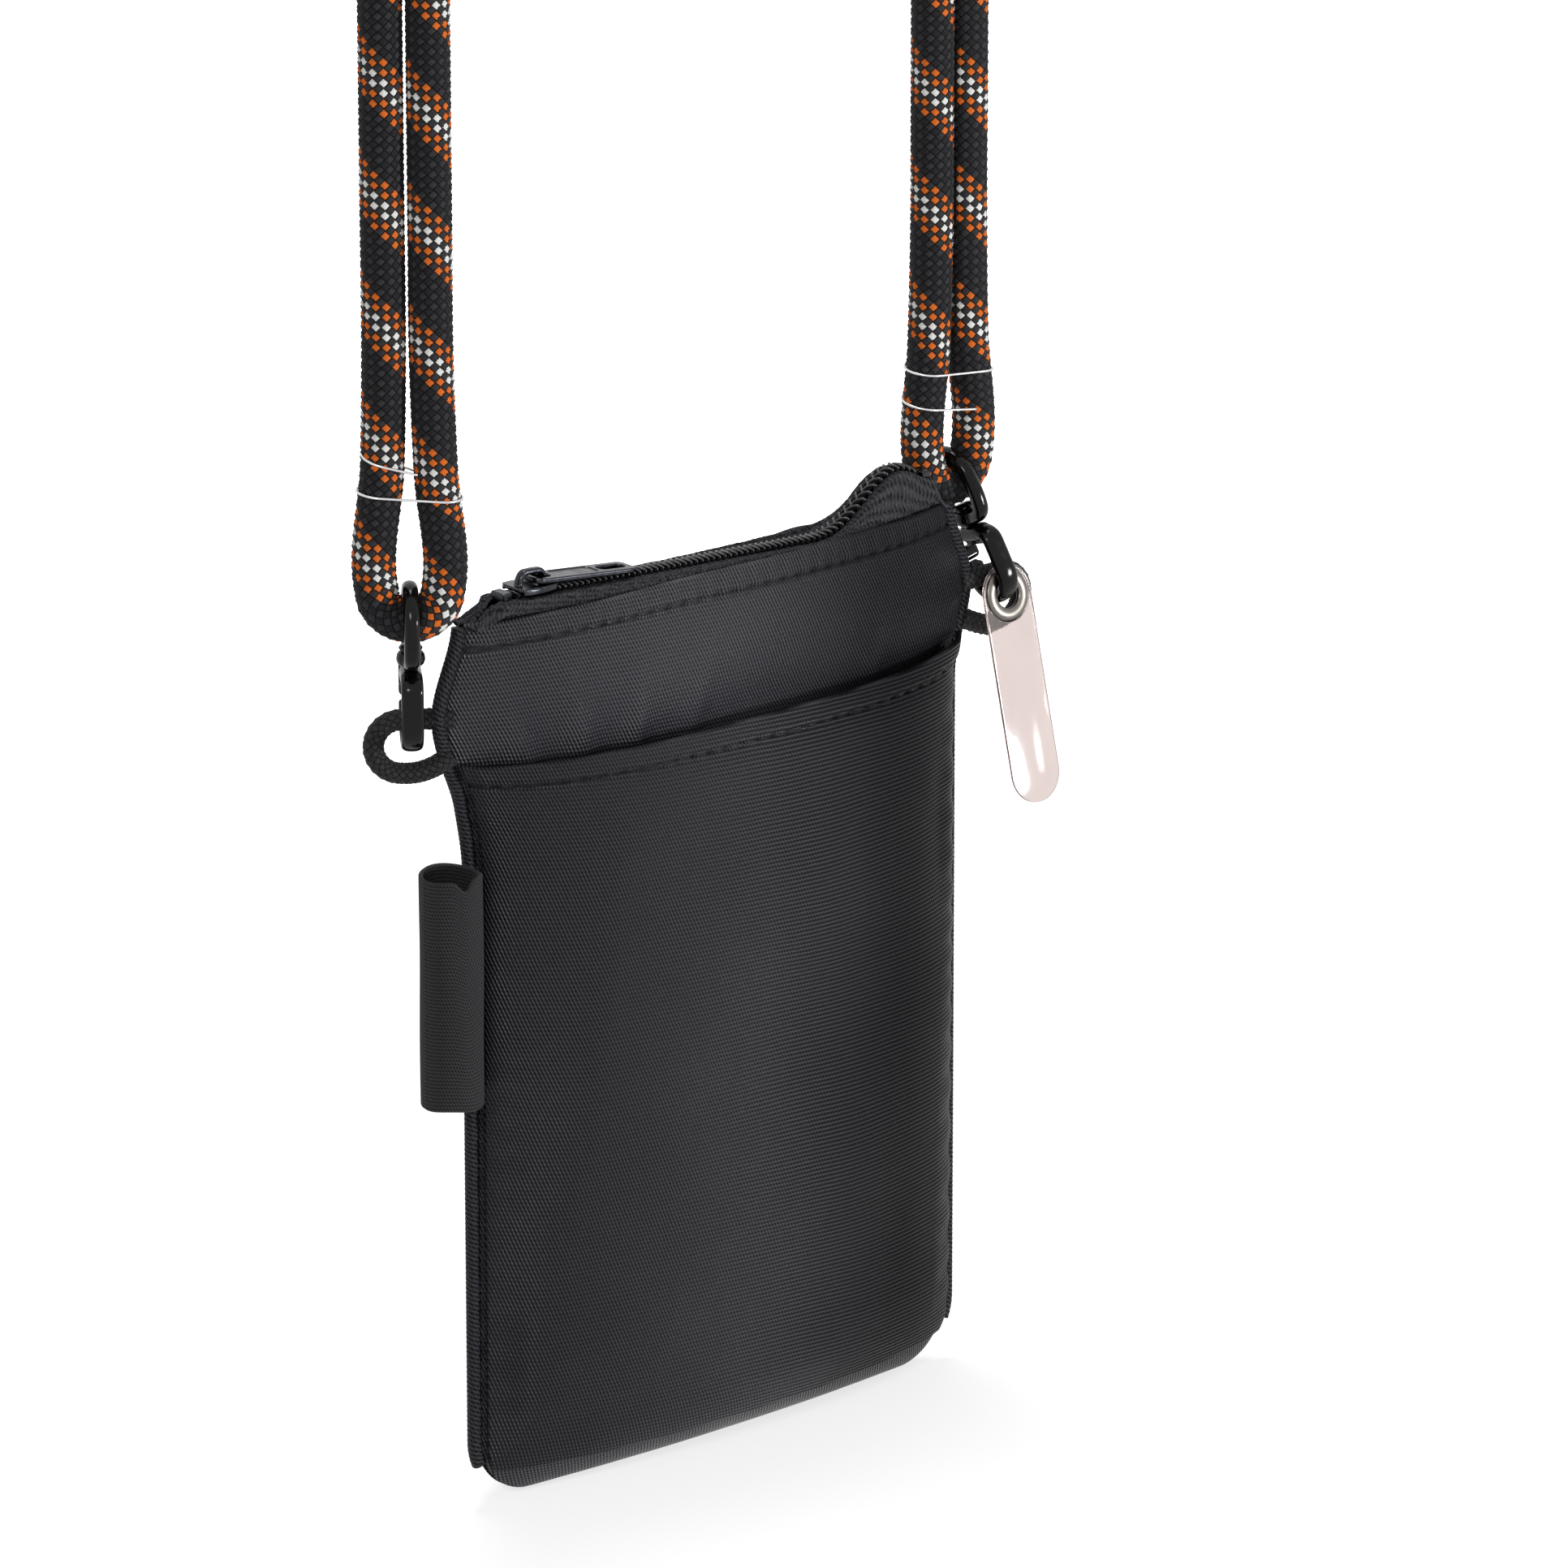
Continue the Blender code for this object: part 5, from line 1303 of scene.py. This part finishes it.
zipper = {
    "left": -0.0525, "right": 0.0535,
    "runEnd": 0.022, "crestX": 0.0452,
    "runHeight": 0.1786, "slope": -0.0042 / 0.0745,
    "crest": 0.1842, "end": 0.1812,
    "sliderX": -0.0445,
    "pitch": 1.4 * mm,
    "wire": 0.55 * mm,
    "coilReach": (1.0 * mm, 0.5 * mm),     # sideways and up
    "coilMiddle": 0.72 * mm,
    "coilLift": {-1: 0.35 * mm, 1: 0.1 * mm},
    "coilEnds": 2.8 * mm,
    "cord": 0.42 * mm,
    "cordMiddle": 0.85 * mm,
    "cordLift": {-1: 0.3 * mm, 1: 0.1 * mm},
    "tapeWall": 0.5 * mm,
    "tapeHeight": 0.1745,
    "tapeEnds": {-1: (2.6 * mm, 0.4 * mm), 1: (2.6 * mm, 1.9 * mm)},   # out at the left, in at the right
    "tapeDrop": 0.6 * mm,                  # of its ends under the cloth's edge
    "shoulder": (4.15 * mm, 2.95 * mm),
    "shoulderFrom": 4.8 * mm, "shoulderReach": 9.6 * mm,
    "tapeIn": 0.95 * mm, "tapeLeast": 0.5 * mm,      # from the panel's middle, and from the seam
    "tapeClose": (0.2, 2.4),               # how far the ends close up, and how soon
    "coilLean": 0.3,                       # of a turn along the zip, in pitches
    "sway": 0.10 * mm, "swayPitch": 7.5 * mm, "swayBend": 150,      # the tape's slack between stitches
    "knit": 0.1 * mm,
}


def zipHeight(x):
    x = np.asarray(x, float)
    run = zipper["runHeight"] + zipper["slope"] * (x - zipper["left"])
    climb = smooth((x - zipper["runEnd"]) / (zipper["crestX"] - zipper["runEnd"]))
    low = mix(run, zipper["crest"], climb ** 1.6)
    fall = smooth((x - zipper["crestX"]) / (zipper["right"] - zipper["crestX"]))
    return np.where(x <= zipper["crestX"], low, mix(zipper["crest"], zipper["end"], fall))


def tapeGrid(side):
    columns, fineRows = 340, 52
    out, inward = zipper["tapeEnds"][side]
    half, top = halfWidth(zipper["tapeHeight"]), shell["height"]
    left, right = -half - out, half - inward
    x = np.linspace(left, right, columns)
    depth = (frontDepth if side < 0 else backDepth)(x, np.full_like(x, top))
    if side > 0:
        depth = depth - backDrape["closing"] * crown(x / halfWidth(top), 4)
    inner = np.maximum(shell["seamHalf"] + depth - zipper["tapeIn"], zipper["tapeLeast"])
    high = zipHeight(np.clip(x, zipper["left"], zipper["right"]))
    past = np.maximum(zipper["left"] - x, 0) / (zipper["left"] - left)
    past = past + np.maximum(x - zipper["right"], 0) / (right - zipper["right"])
    high = mix(high, top - zipper["tapeDrop"], smooth(past))
    closed, rate = zipper["tapeClose"]
    close = mix(1.0, closed, smooth(past * rate))
    away = smooth((x - zipper["runEnd"] - zipper["shoulderFrom"]) / zipper["shoulderReach"])
    shoulder = mix(*zipper["shoulder"], away)
    rows = [
        (inner, top - 6 * mm), (inner, top - 3 * mm), (inner, top - gap),
        (mix(np.maximum(inner, shoulder), shoulder, 0.5), mix(top, high, 0.45)),
        (shoulder * close, high - 0.45 * mm), (1.5 * mm * close, high - 0.6 * mm),
    ]
    fine = np.linspace(0, 1, fineRows)
    sheet = []
    for part in (0, 1):
        rough = np.stack([row[part] * np.ones_like(x) for row in rows])
        knots = np.linspace(0, 1, len(rows))
        line = np.stack([np.interp(fine, knots, rough[:, i]) for i in range(columns)], 1)
        for i in range(3):
            line[1:-1] = (line[:-2] + 2 * line[1:-1] + line[2:]) / 4
        sheet.append(line)
    y, z = sheet
    sway = zipper["sway"] * np.sin(2 * pi * x / zipper["swayPitch"] + np.sin(x * zipper["swayBend"]))
    sway = sway * np.sin(pi * fine)[:, None]
    grid = np.stack([np.broadcast_to(x, y.shape), side * (y + sway), z], -1)
    grid = grid if side < 0 else grid[:, ::-1]
    # the knit's pebbles, two rows by two columns each
    r, c = np.indices(grid.shape[:2]) // 2
    size = np.random.default_rng(4).uniform(0.3, 1.4, (r.max() + 1, c.max() + 1))[r, c]
    knit = np.where((r + c) % 2, zipper["knit"], -zipper["knit"]) * size
    return grid + gridNormals(grid) * knit[..., None]


# Nylon monofilament, heat-set into a coil: smooth, dark and glossy on its crowns, and drawn a lighter grey
# than the black nylon: a painted highlight that makes its turns read as light strokes over the black cord.
nylonCoil = grainMaterial("nylonCoilHeatSet", {
    "grain": {"Scale": 1400.0, "Detail": 2.0}, "dark": "#232325", "light": "#3C3C40",
    "roughness": (0.18, 0.32), "surface": {"IOR": 1.53, "Specular IOR Level": 0.4},
})


def makeZip():
    low, high = zipper["left"] + zipper["coilEnds"], zipper["right"] - zipper["coilEnds"]
    pitch, perTurn = zipper["pitch"], 18
    wide, tall = zipper["coilReach"]
    for side, tag in ((-1, "Front"), (1, "Back")):
        p, f, t = clothSheet(tapeGrid(side), zipper["tapeWall"])
        addPiece("zipTape" + tag, p, f, zipTapeCloth, "pouch", ("zip_tape_" + tag.lower(),), t)
    for side, tag in ((-1, "Front"), (1, "Back")):
        i = np.arange(int((high - low) / pitch) * perTurn + 1)
        turn = 2 * pi * i / perTurn
        x = low + pitch * (i / perTurn) + (pitch / 2 if side > 0 else 0)
        x = x - zipper["coilLean"] * pitch * np.cos(turn)
        y = side * (zipper["coilMiddle"] - wide * np.cos(turn))
        line = np.stack([x, y, zipHeight(x) + tall * np.sin(turn) + zipper["coilLift"][side]], -1)
        p, f = tubeMesh(line, roundOffsets(len(line), 8, zipper["wire"] / 2))
        addPiece("zipCoil" + tag, p, f, nylonCoil, "pouch", ("zip_teeth_" + tag.lower(),))
        # the cord that the coil is wound round
        x = np.linspace(low, high, 200)
        y = np.full_like(x, side * zipper["cordMiddle"])
        line = np.stack([x, y, zipHeight(x) + zipper["cordLift"][side]], -1)
        p, f = tubeMesh(line, roundOffsets(len(x), 8, zipper["cord"]))
        t = np.stack([p[:, 0], p[:, 2] + p[:, 1]], -1)
        addPiece("zipCord" + tag, p, f, coilCord, "pouch", (), t)


makeZip()
print("zip: done")


# Slider and pull

# Zinc die casting, black-nickel plated and tumbled: dark mirror with faint swirls of 2 mm.
gunmetal = grainMaterial("zincPlatedGunmetal", {
    "grain": {"Scale": 500.0, "Detail": 4.0, "Distortion": 0.6}, "dark": "#2B2C30", "light": "#45464B",
    "roughness": (0.14, 0.32), "span": (0.3, 0.7),
    "fine": {"Scale": 3500.0, "Detail": 2.0}, "bump": (0.15, 0.02 * mm), "surface": {"Metallic": 1.0},
})


def zipFrame(x):
    tilt = Matrix.Rotation(-atan2(zipper["slope"], 1.0), 4, "Y")
    return Matrix.Translation((x, 0, float(zipHeight(x)))) @ tilt


def plate(outline, low, high, edge, holes=()):
    # A flat plate with rounded edges from a closed outline in X and Y, with holes.
    curve = bpy.data.curves.new("plate", "CURVE")
    curve.dimensions = "2D"
    curve.fill_mode = "BOTH"
    curve.extrude = (high - low) / 2 - edge
    curve.bevel_depth = edge
    curve.bevel_resolution = 2
    curve.offset = -edge
    for ring in (outline, *holes):
        line = curve.splines.new("POLY")
        line.points.add(len(ring) - 1)
        for spot, point in zip(line.points, ring):
            spot.co = (point[0], point[1], 0, 1)
        line.use_cyclic_u = True
    mesh = evaluatedMesh(curve)
    bm = bmesh.new()
    bm.from_mesh(mesh)
    bmesh.ops.remove_doubles(bm, verts=bm.verts, dist=0.00001)
    points = [(v.co.x, v.co.y, v.co.z + (low + high) / 2) for v in bm.verts]
    faces = [tuple(v.index for v in f.verts) for f in bm.faces]
    bm.free()
    bpy.data.meshes.remove(mesh)
    return points, faces


def roundedOutline(x0, x1, half, radius):
    corners = ((x1 - radius, half - radius, 0), (x0 + radius, half - radius, 90),
               (x0 + radius, -half + radius, 180), (x1 - radius, -half + radius, 270))
    return [spot for cx, cy, start in corners
            for spot in arc((cx, cy), radius, [start + 90 * i / 6 for i in range(7)])]


slider = {
    # shares of its half length and half width: wide where the rows part, narrower where they close
    "outline": ((-1, 0.62), (-0.86, 0.93), (-0.55, 1), (0.2, 0.97), (0.82, 0.83), (1, 0.66)),
    "length": 9.6 * mm, "width": 7.2 * mm, "plate": 0.8 * mm, "clear": 0.9 * mm,
    "neck": 0.8 * mm, "bridgeSpan": 5.6 * mm, "bridgeTop": 4.6 * mm,
    "bridgeWidth": 1.8 * mm, "bridgeWire": 1.2 * mm, "edge": 0.22 * mm, "wall": 0.32 * mm,
    "weld": (0.11 * mm, 5),
}
pull = {
    "length": 24.5 * mm, "width": 5.6 * mm, "thick": 1.0 * mm, "web": 0.55 * mm, "rim": 0.75 * mm,
    "eyeLength": 3.6 * mm, "eyeWidth": 3.0 * mm, "windowLength": 6.3 * mm, "windowWidth": 2.6 * mm,
    "pivot": 2.5 * mm, "droop": 3.0, "start": -0.5 * mm, "eyeFrom": 0.5 * mm, "windowRim": 1.5 * mm,
    "corner": 1.5 * mm, "holeCorner": 1.1 * mm, "webCorner": 1.0 * mm, "webEnds": (1.1 * mm, 1.0 * mm),
    "edges": (0.1 * mm, 0.22 * mm), "weld": (0.1 * mm, 4),
}


def sliderOutline():
    ring = [(x * slider["length"] / 2, y * slider["width"] / 2) for x, y in slider["outline"]]
    return ring + [(x, -y) for x, y in ring[::-1]]


def makeSlider():
    half, clear, thick = slider["length"] / 2, slider["clear"], slider["plate"]
    parts = [plate(sliderOutline(), clear, clear + thick, slider["edge"]),
             plate(sliderOutline(), -clear - thick, -clear, slider["edge"])]
    parts.append(roundedBlock((-half + gap, -slider["neck"] / 2, -clear - thick / 2),
                              (-half / 3, slider["neck"] / 2, clear + thick / 2), 0.1 * mm))
    reach, wire, across = slider["bridgeSpan"] / 2, slider["bridgeWire"], (0, 1, 0)
    rise, foot = slider["bridgeTop"] - wire / 2, clear + thick / 2
    arch = [(-reach - 0.2 * mm, foot), (-reach, foot + 0.55 * (rise - foot)),
            (-reach * 0.72, rise - 0.12 * wire), (-reach * 0.3, rise), (reach * 0.3, rise),
            (reach * 0.75, rise - 0.15 * wire), (reach, foot + 0.5 * (rise - foot)),
            (reach + 0.2 * mm, foot)]
    path, _ = smoothLine([(x, 0, z) for x, z in arch], 0.25 * mm)
    width = slider["bridgeWidth"]
    parts.append(tubeMesh(path, roundOffsets(len(path), 24, width / 2, wire / width, 3.0), side=across))
    # the side walls that the coils run along
    for sign in (-1, 1):
        edge = sorted((x, y) for x, y in sliderOutline() if y * sign > 0 and abs(x) < half * 0.9)
        path, _ = smoothLine([(x, y - sign * slider["wall"], clear + 0.1 * mm) for x, y in edge], 0.4 * mm)
        parts.append(tubeMesh(path, roundOffsets(len(path), 16, slider["wall"], 2.0, 4.0), side=across))
    p, f = fused(parts, *slider["weld"])
    addPiece("zipSlider", p, f, gunmetal, "slider", ("zip_slider",), None,
             zipFrame(zipper["sliderX"]))


def makePull():
    half, rim = pull["width"] / 2, pull["rim"]
    end = pull["start"] + pull["length"]
    eyeEnd, windowEnd = pull["eyeFrom"] + pull["eyeLength"], end - pull["windowRim"]
    windowStart = windowEnd - pull["windowLength"]
    outer = roundedOutline(pull["start"], end, half, pull["corner"])
    eye = roundedOutline(pull["eyeFrom"], eyeEnd, pull["eyeWidth"] / 2, pull["holeCorner"])
    window = roundedOutline(windowStart, windowEnd, pull["windowWidth"] / 2, pull["holeCorner"])
    before, after = pull["webEnds"]
    inner = roundedOutline(eyeEnd + before, windowStart - after, half - rim, pull["webCorner"])
    webEdge, rimEdge = pull["edges"]
    web = plate(outer, -pull["web"] / 2, pull["web"] / 2, webEdge, (eye, window))
    ring = plate(outer, -pull["thick"] / 2, pull["thick"] / 2, rimEdge, (eye, window, inner))
    p, f = fused([web, ring], *pull["weld"])
    place = zipFrame(zipper["sliderX"]) @ Matrix.Translation((0, 0, pull["pivot"]))
    place = place @ Matrix.Rotation(radians(pull["droop"]), 4, "Y")
    addPiece("zipPull", p, f, gunmetal, "pull", ("zip_pull",), None, place)


makeSlider()
makePull()
for name in ("zip_stop_left", "zip_stop_right"):
    coatNode(name, gunmetal)
print("slider and pull: done")


# Side loops of braided cord

def makeLoops():
    bend, reach = loops["bend"], loops["arc"]
    high, low = loops["bandHeight"], loops["bandHeight"] - 2 * reach
    for side, tag in leftRight:
        root, out = loopRoot(side), loopDirection(side)
        start = loopStart(side) - loops["sewnIn"]
        shape = [(start - loops["startIn"], high), (bend / 2, high)]
        shape += arc((bend, high - reach), reach, [90 - 180 * i / 12 for i in range(13)])
        shape += [(bend * share, low + rise) for share, rise in loops["under"]]
        shape.append((start - loops["endIn"], low + loops["endUp"]))
        points = [root + out * d + Vector((0, 0, z)) for d, z in shape]
        p, f, t, _ = braid(points, loops["cord"], loops["carriers"], loops["lead"], loops["relief"])
        addPiece("cordLoop" + tag, p, f, braidedCord, "pouch", ("cord_loop_" + tag.lower(),),
                 t)


makeLoops()
print("cord loops: done")


# Pen loop

penLoop = {
    "centre": (-0.06674, -0.003), "radius": 5.55 * mm, "wall": 0.9 * mm,
    "low": 0.083, "high": 0.1285,
    "overlap": -100.0,       # degrees round, where the elastic's ends overlap and dip
    "dip": 2.2 * mm, "dipReach": 0.28, "slant": 0.3 * mm, "footWave": 0.5 * mm, "wave": 0.12 * mm,
    "rows": 120, "columns": 132,
}


def makePenLoop():
    v = np.linspace(0, 1, penLoop["rows"])[:, None]
    turn = np.linspace(-pi, pi, penLoop["columns"], endpoint=False)[None]
    cx, cy = penLoop["centre"]
    away = np.abs((turn - radians(penLoop["overlap"]) + pi) % (2 * pi) - pi)
    dip = penLoop["dip"] * bell(away, penLoop["dipReach"])
    high = penLoop["high"] - dip - penLoop["slant"] * (1 + np.cos(2 * turn))
    low = penLoop["low"] + penLoop["footWave"] * (1 + np.cos(3 * turn + 0.6)) * 0.5
    radius = penLoop["radius"] + penLoop["wave"] * np.sin(3 * turn + 5 * v) * np.sin(pi * v)
    grid = np.stack([cx + radius * np.cos(turn), cy + radius * np.sin(turn) + 0 * v, mix(low, high, v)], -1)
    p, f, t = clothSheet(grid, penLoop["wall"], wrap=True, middleU=False)
    addPiece("penLoop", p, f, knittedElastic, "pouch", ("pen_loop",), t)


makePenLoop()
print("pen loop: done")


# Hooks

# Zinc casting under black stoving enamel: thick, smooth and glossy, with faint orange peel 1.4 mm wide.
blackEnamel = grainMaterial("zincBlackEnamelled", {
    "grain": {"Scale": 700.0, "Detail": 2.0}, "dark": "#060607", "light": "#0D0D0E",
    "roughness": (0.1, 0.17), "span": (0.3, 0.7), "bump": (0.12, 0.05 * mm),
    "surface": {"IOR": 1.5, "Specular IOR Level": 0.2},
})
# Cold-rolled spring steel: bright, with fine rolling lines.
springSteel = grainMaterial("springSteelRolled", {
    "stretch": (6000.0, 300.0, 300.0), "grain": {"Scale": 1.0, "Detail": 2.0},
    "dark": "#A9ABAE", "light": "#CFCFD0", "roughness": (0.2, 0.42), "surface": {"Metallic": 1.0},
})


# Turned parts of the hook on its shank, as (radius, height) in millimetres.
hookProfiles = {
    "stem": ((0, 8.2), (1.3, 8.2), (1.3, 13.9), (0, 13.9)),
    "rivet": ((0, 13.4), (2.2, 13.4), (2.3, 13.65), (1.9, 14.15), (1.0, 14.4), (0, 14.42)),
    "boss": ((0, 10.1), (1.9, 10.15), (2.5, 10.6), (2.75, 11.4), (2.6, 12.4), (2.1, 13.0), (0, 13.1)),
}


def makeHook(side, tag):
    low, across = tag.lower(), (0, 1, 0)
    place = hookFrame(side)
    voxel, passes = hook["weld"]
    bar, deep, barW, headLow = hook["bar"], hook["barDepth"], hook["barW"], hook["headLow"]
    stem, rivet, boss = [turnedPart([(r * mm, z * mm) for r, z in hookProfiles[name]])
                         for name in ("stem", "rivet", "boss")]
    shoulder, edges = headLow + hook["shoulder"], hook["edges"]
    spine = [(-barW * 0.2, shoulder), (-barW * 0.6, shoulder), (-barW * 0.93, headLow + 0.5 * mm),
             (-barW, headLow - bar), (-barW, 2.0 * mm)]
    spine += arc((0, 0), barW, [180 + 15 * i for i in range(13)]) + [(barW, bar * 0.6), (barW, bar)]
    path, _ = smoothLine([(w, 0, z) for w, z in spine], 0.3 * mm)
    ends = np.minimum(np.arange(len(path)), np.arange(len(path))[::-1]) * 0.3
    ease = np.sqrt(np.clip(ends / 0.9, 0.25, 1))
    main = tubeMesh(path, roundOffsets(len(path), 32, deep / 2 * ease, bar / deep, 2.5), side=across)
    head = roundedBlock((-hook["headWidth"] / 2, -deep / 2, headLow),
                        (hook["mouthHalf"] - hook["headShort"], deep / 2, hook["headHigh"]), *edges["head"])
    lug = roundedBlock((0, -hook["lugHalf"], headLow + gap),
                       (barW + bar / 2, hook["lugHalf"], hook["pinHeight"] + hook["lugOver"]),
                       *edges["lug"])
    p, f = fused([main, head, lug, stem, rivet], voxel, passes)
    addPiece("hookBody" + tag, p, f, blackEnamel, "hook_" + low, ("hook_body_" + low,),
             None, place)

    eyeHalf, wire, corner = hook["eyeHalf"], hook["eyeWire"], hook["eyeCorner"]
    straight, base = eyeHalf - corner, hook["baseHeight"] + wire / 2 + corner
    ring = arc((straight, base), corner, (-90, -60, -30, 0))
    ring += arc((0, hook["ropeInEye"]), eyeHalf, range(0, 181, 15))
    ring += arc((-straight, base), corner, (180, 210, 240, 270))
    line, _ = smoothLine([(w, 0, z) for w, z in ring], 0.3 * mm, closed=True)
    section = roundOffsets(len(line) - 1, 28, wire / 2, 1.0, 2.3)
    p, f = fused([tubeMesh(line[:-1], section, closed=True, side=across), boss], voxel, passes - 1)
    addPiece("hookEye" + tag, p, f, blackEnamel, "strap", ("hook_eye_" + low,), None, place)

    foot, top = hook["ears"]
    bars = [roundedBlock((-bar / 2, -deep / 2, -hook["gateDrop"]), (bar / 2, deep / 2, hook["gateTop"]),
                         *edges["gate"])]
    for sign in (-1, 1):
        y0, y1 = sorted((sign * (hook["lugHalf"] + gap), sign * deep / 2))
        bars.append(roundedBlock((-bar / 2, y0, foot), (bar / 2, y1, top + bar / 4), *edges["ear"]))
    p, f = fused(bars, *hook["gateWeld"])
    addPiece("hookGate" + tag, p, f, blackEnamel, "gate_" + low, ("hook_gate_" + low,), None,
             place @ Matrix.Translation((barW, 0, hook["pinHeight"])))
    for name in ("gate_pin_" + low, "gate_spring_" + low):
        coatNode(name, springSteel)


makeHook(-1, "Left")
makeHook(1, "Right")
print("hooks: done")


# Clear tether tab and its eyelet

# Calendered soft PVC sheet: clear, warm-tinted and glossy, its surface slightly wavy every 8 mm.
clearVinyl = grainMaterial("vinylSheetClear", {
    "grain": {"Scale": 120.0, "Detail": 1.0}, "dark": "#E4D3CF", "light": "#ECDEDA",
    "bump": (0.1, 0.3 * mm), "surface": {"Roughness": 0.08, "IOR": 1.53, "Transmission Weight": 0.9},
})
# Brass eyelet, satin nickel plated: soft warm silver with fine turning marks.
satinNickel = grainMaterial("nickelSatinPlated", {
    "grain": {"Scale": 1500.0, "Detail": 3.0}, "dark": "#686460", "light": "#827D77",
    "roughness": (0.26, 0.4), "surface": {"Metallic": 1.0},
})
tab = {
    "width": 12 * mm, "length": 47 * mm, "wall": 0.6 * mm, "edge": 0.08 * mm,
    "hole": 5.4 * mm, "outer": 10.4 * mm, "thick": 1.5 * mm, "flatness": 0.8,
    "lean": 14.0, "drop": 0.4 * mm, "placeShare": 0.46,
}


def makeTab():
    along = -tab["placeShare"] * hook["barW"]
    wire = hookFrame(1) @ Vector((along, 0, -sqrt(hook["barW"] ** 2 - along**2)))
    place = Matrix.Translation(wire) @ Matrix.Rotation(-radians(tab["lean"]), 4, "X")
    place = place @ Matrix.Translation((0, 0, -tab["drop"])) @ Matrix.Rotation(radians(90), 4, "X")
    hole, outer, half = tab["hole"] / 2, tab["outer"] / 2, tab["thick"] / 2
    middle, reach = (hole + outer) / 2, (outer - hole) / 2
    profile = [(middle + reach * cos(t), half * np.sign(sin(t)) * abs(sin(t)) ** tab["flatness"])
               for t in np.linspace(0, 2 * pi, 25)[:-1]]
    columns, n = 72, len(profile)
    turn = 2 * pi * np.arange(columns) / columns
    points = np.array([(r * np.cos(t), r * np.sin(t), z) for t in turn for r, z in profile])
    faces = []
    for c in range(columns):
        here, after = c * n, (c + 1) % columns * n
        faces += [(after + i, after + (i + 1) % n, here + (i + 1) % n, here + i) for i in range(n)]
    addPiece("tetherEyelet", points, faces, satinNickel, "tab", ("tether_eyelet",),
             None, place)
    radius = tab["width"] / 2
    outline = arc((0, 0), radius, range(0, 181, 6))
    outline += arc((0, tab["width"] - tab["length"]), radius, range(180, 361, 6))
    cut = arc((0, 0), outer + gap, range(0, 360, 6))
    p, f = plate(outline, -tab["wall"] / 2, tab["wall"] / 2, tab["edge"], (cut,))
    addPiece("tetherTab", p, f, clearVinyl, "tab", ("tether_tab",), None, place)


makeTab()
print("tether: done")
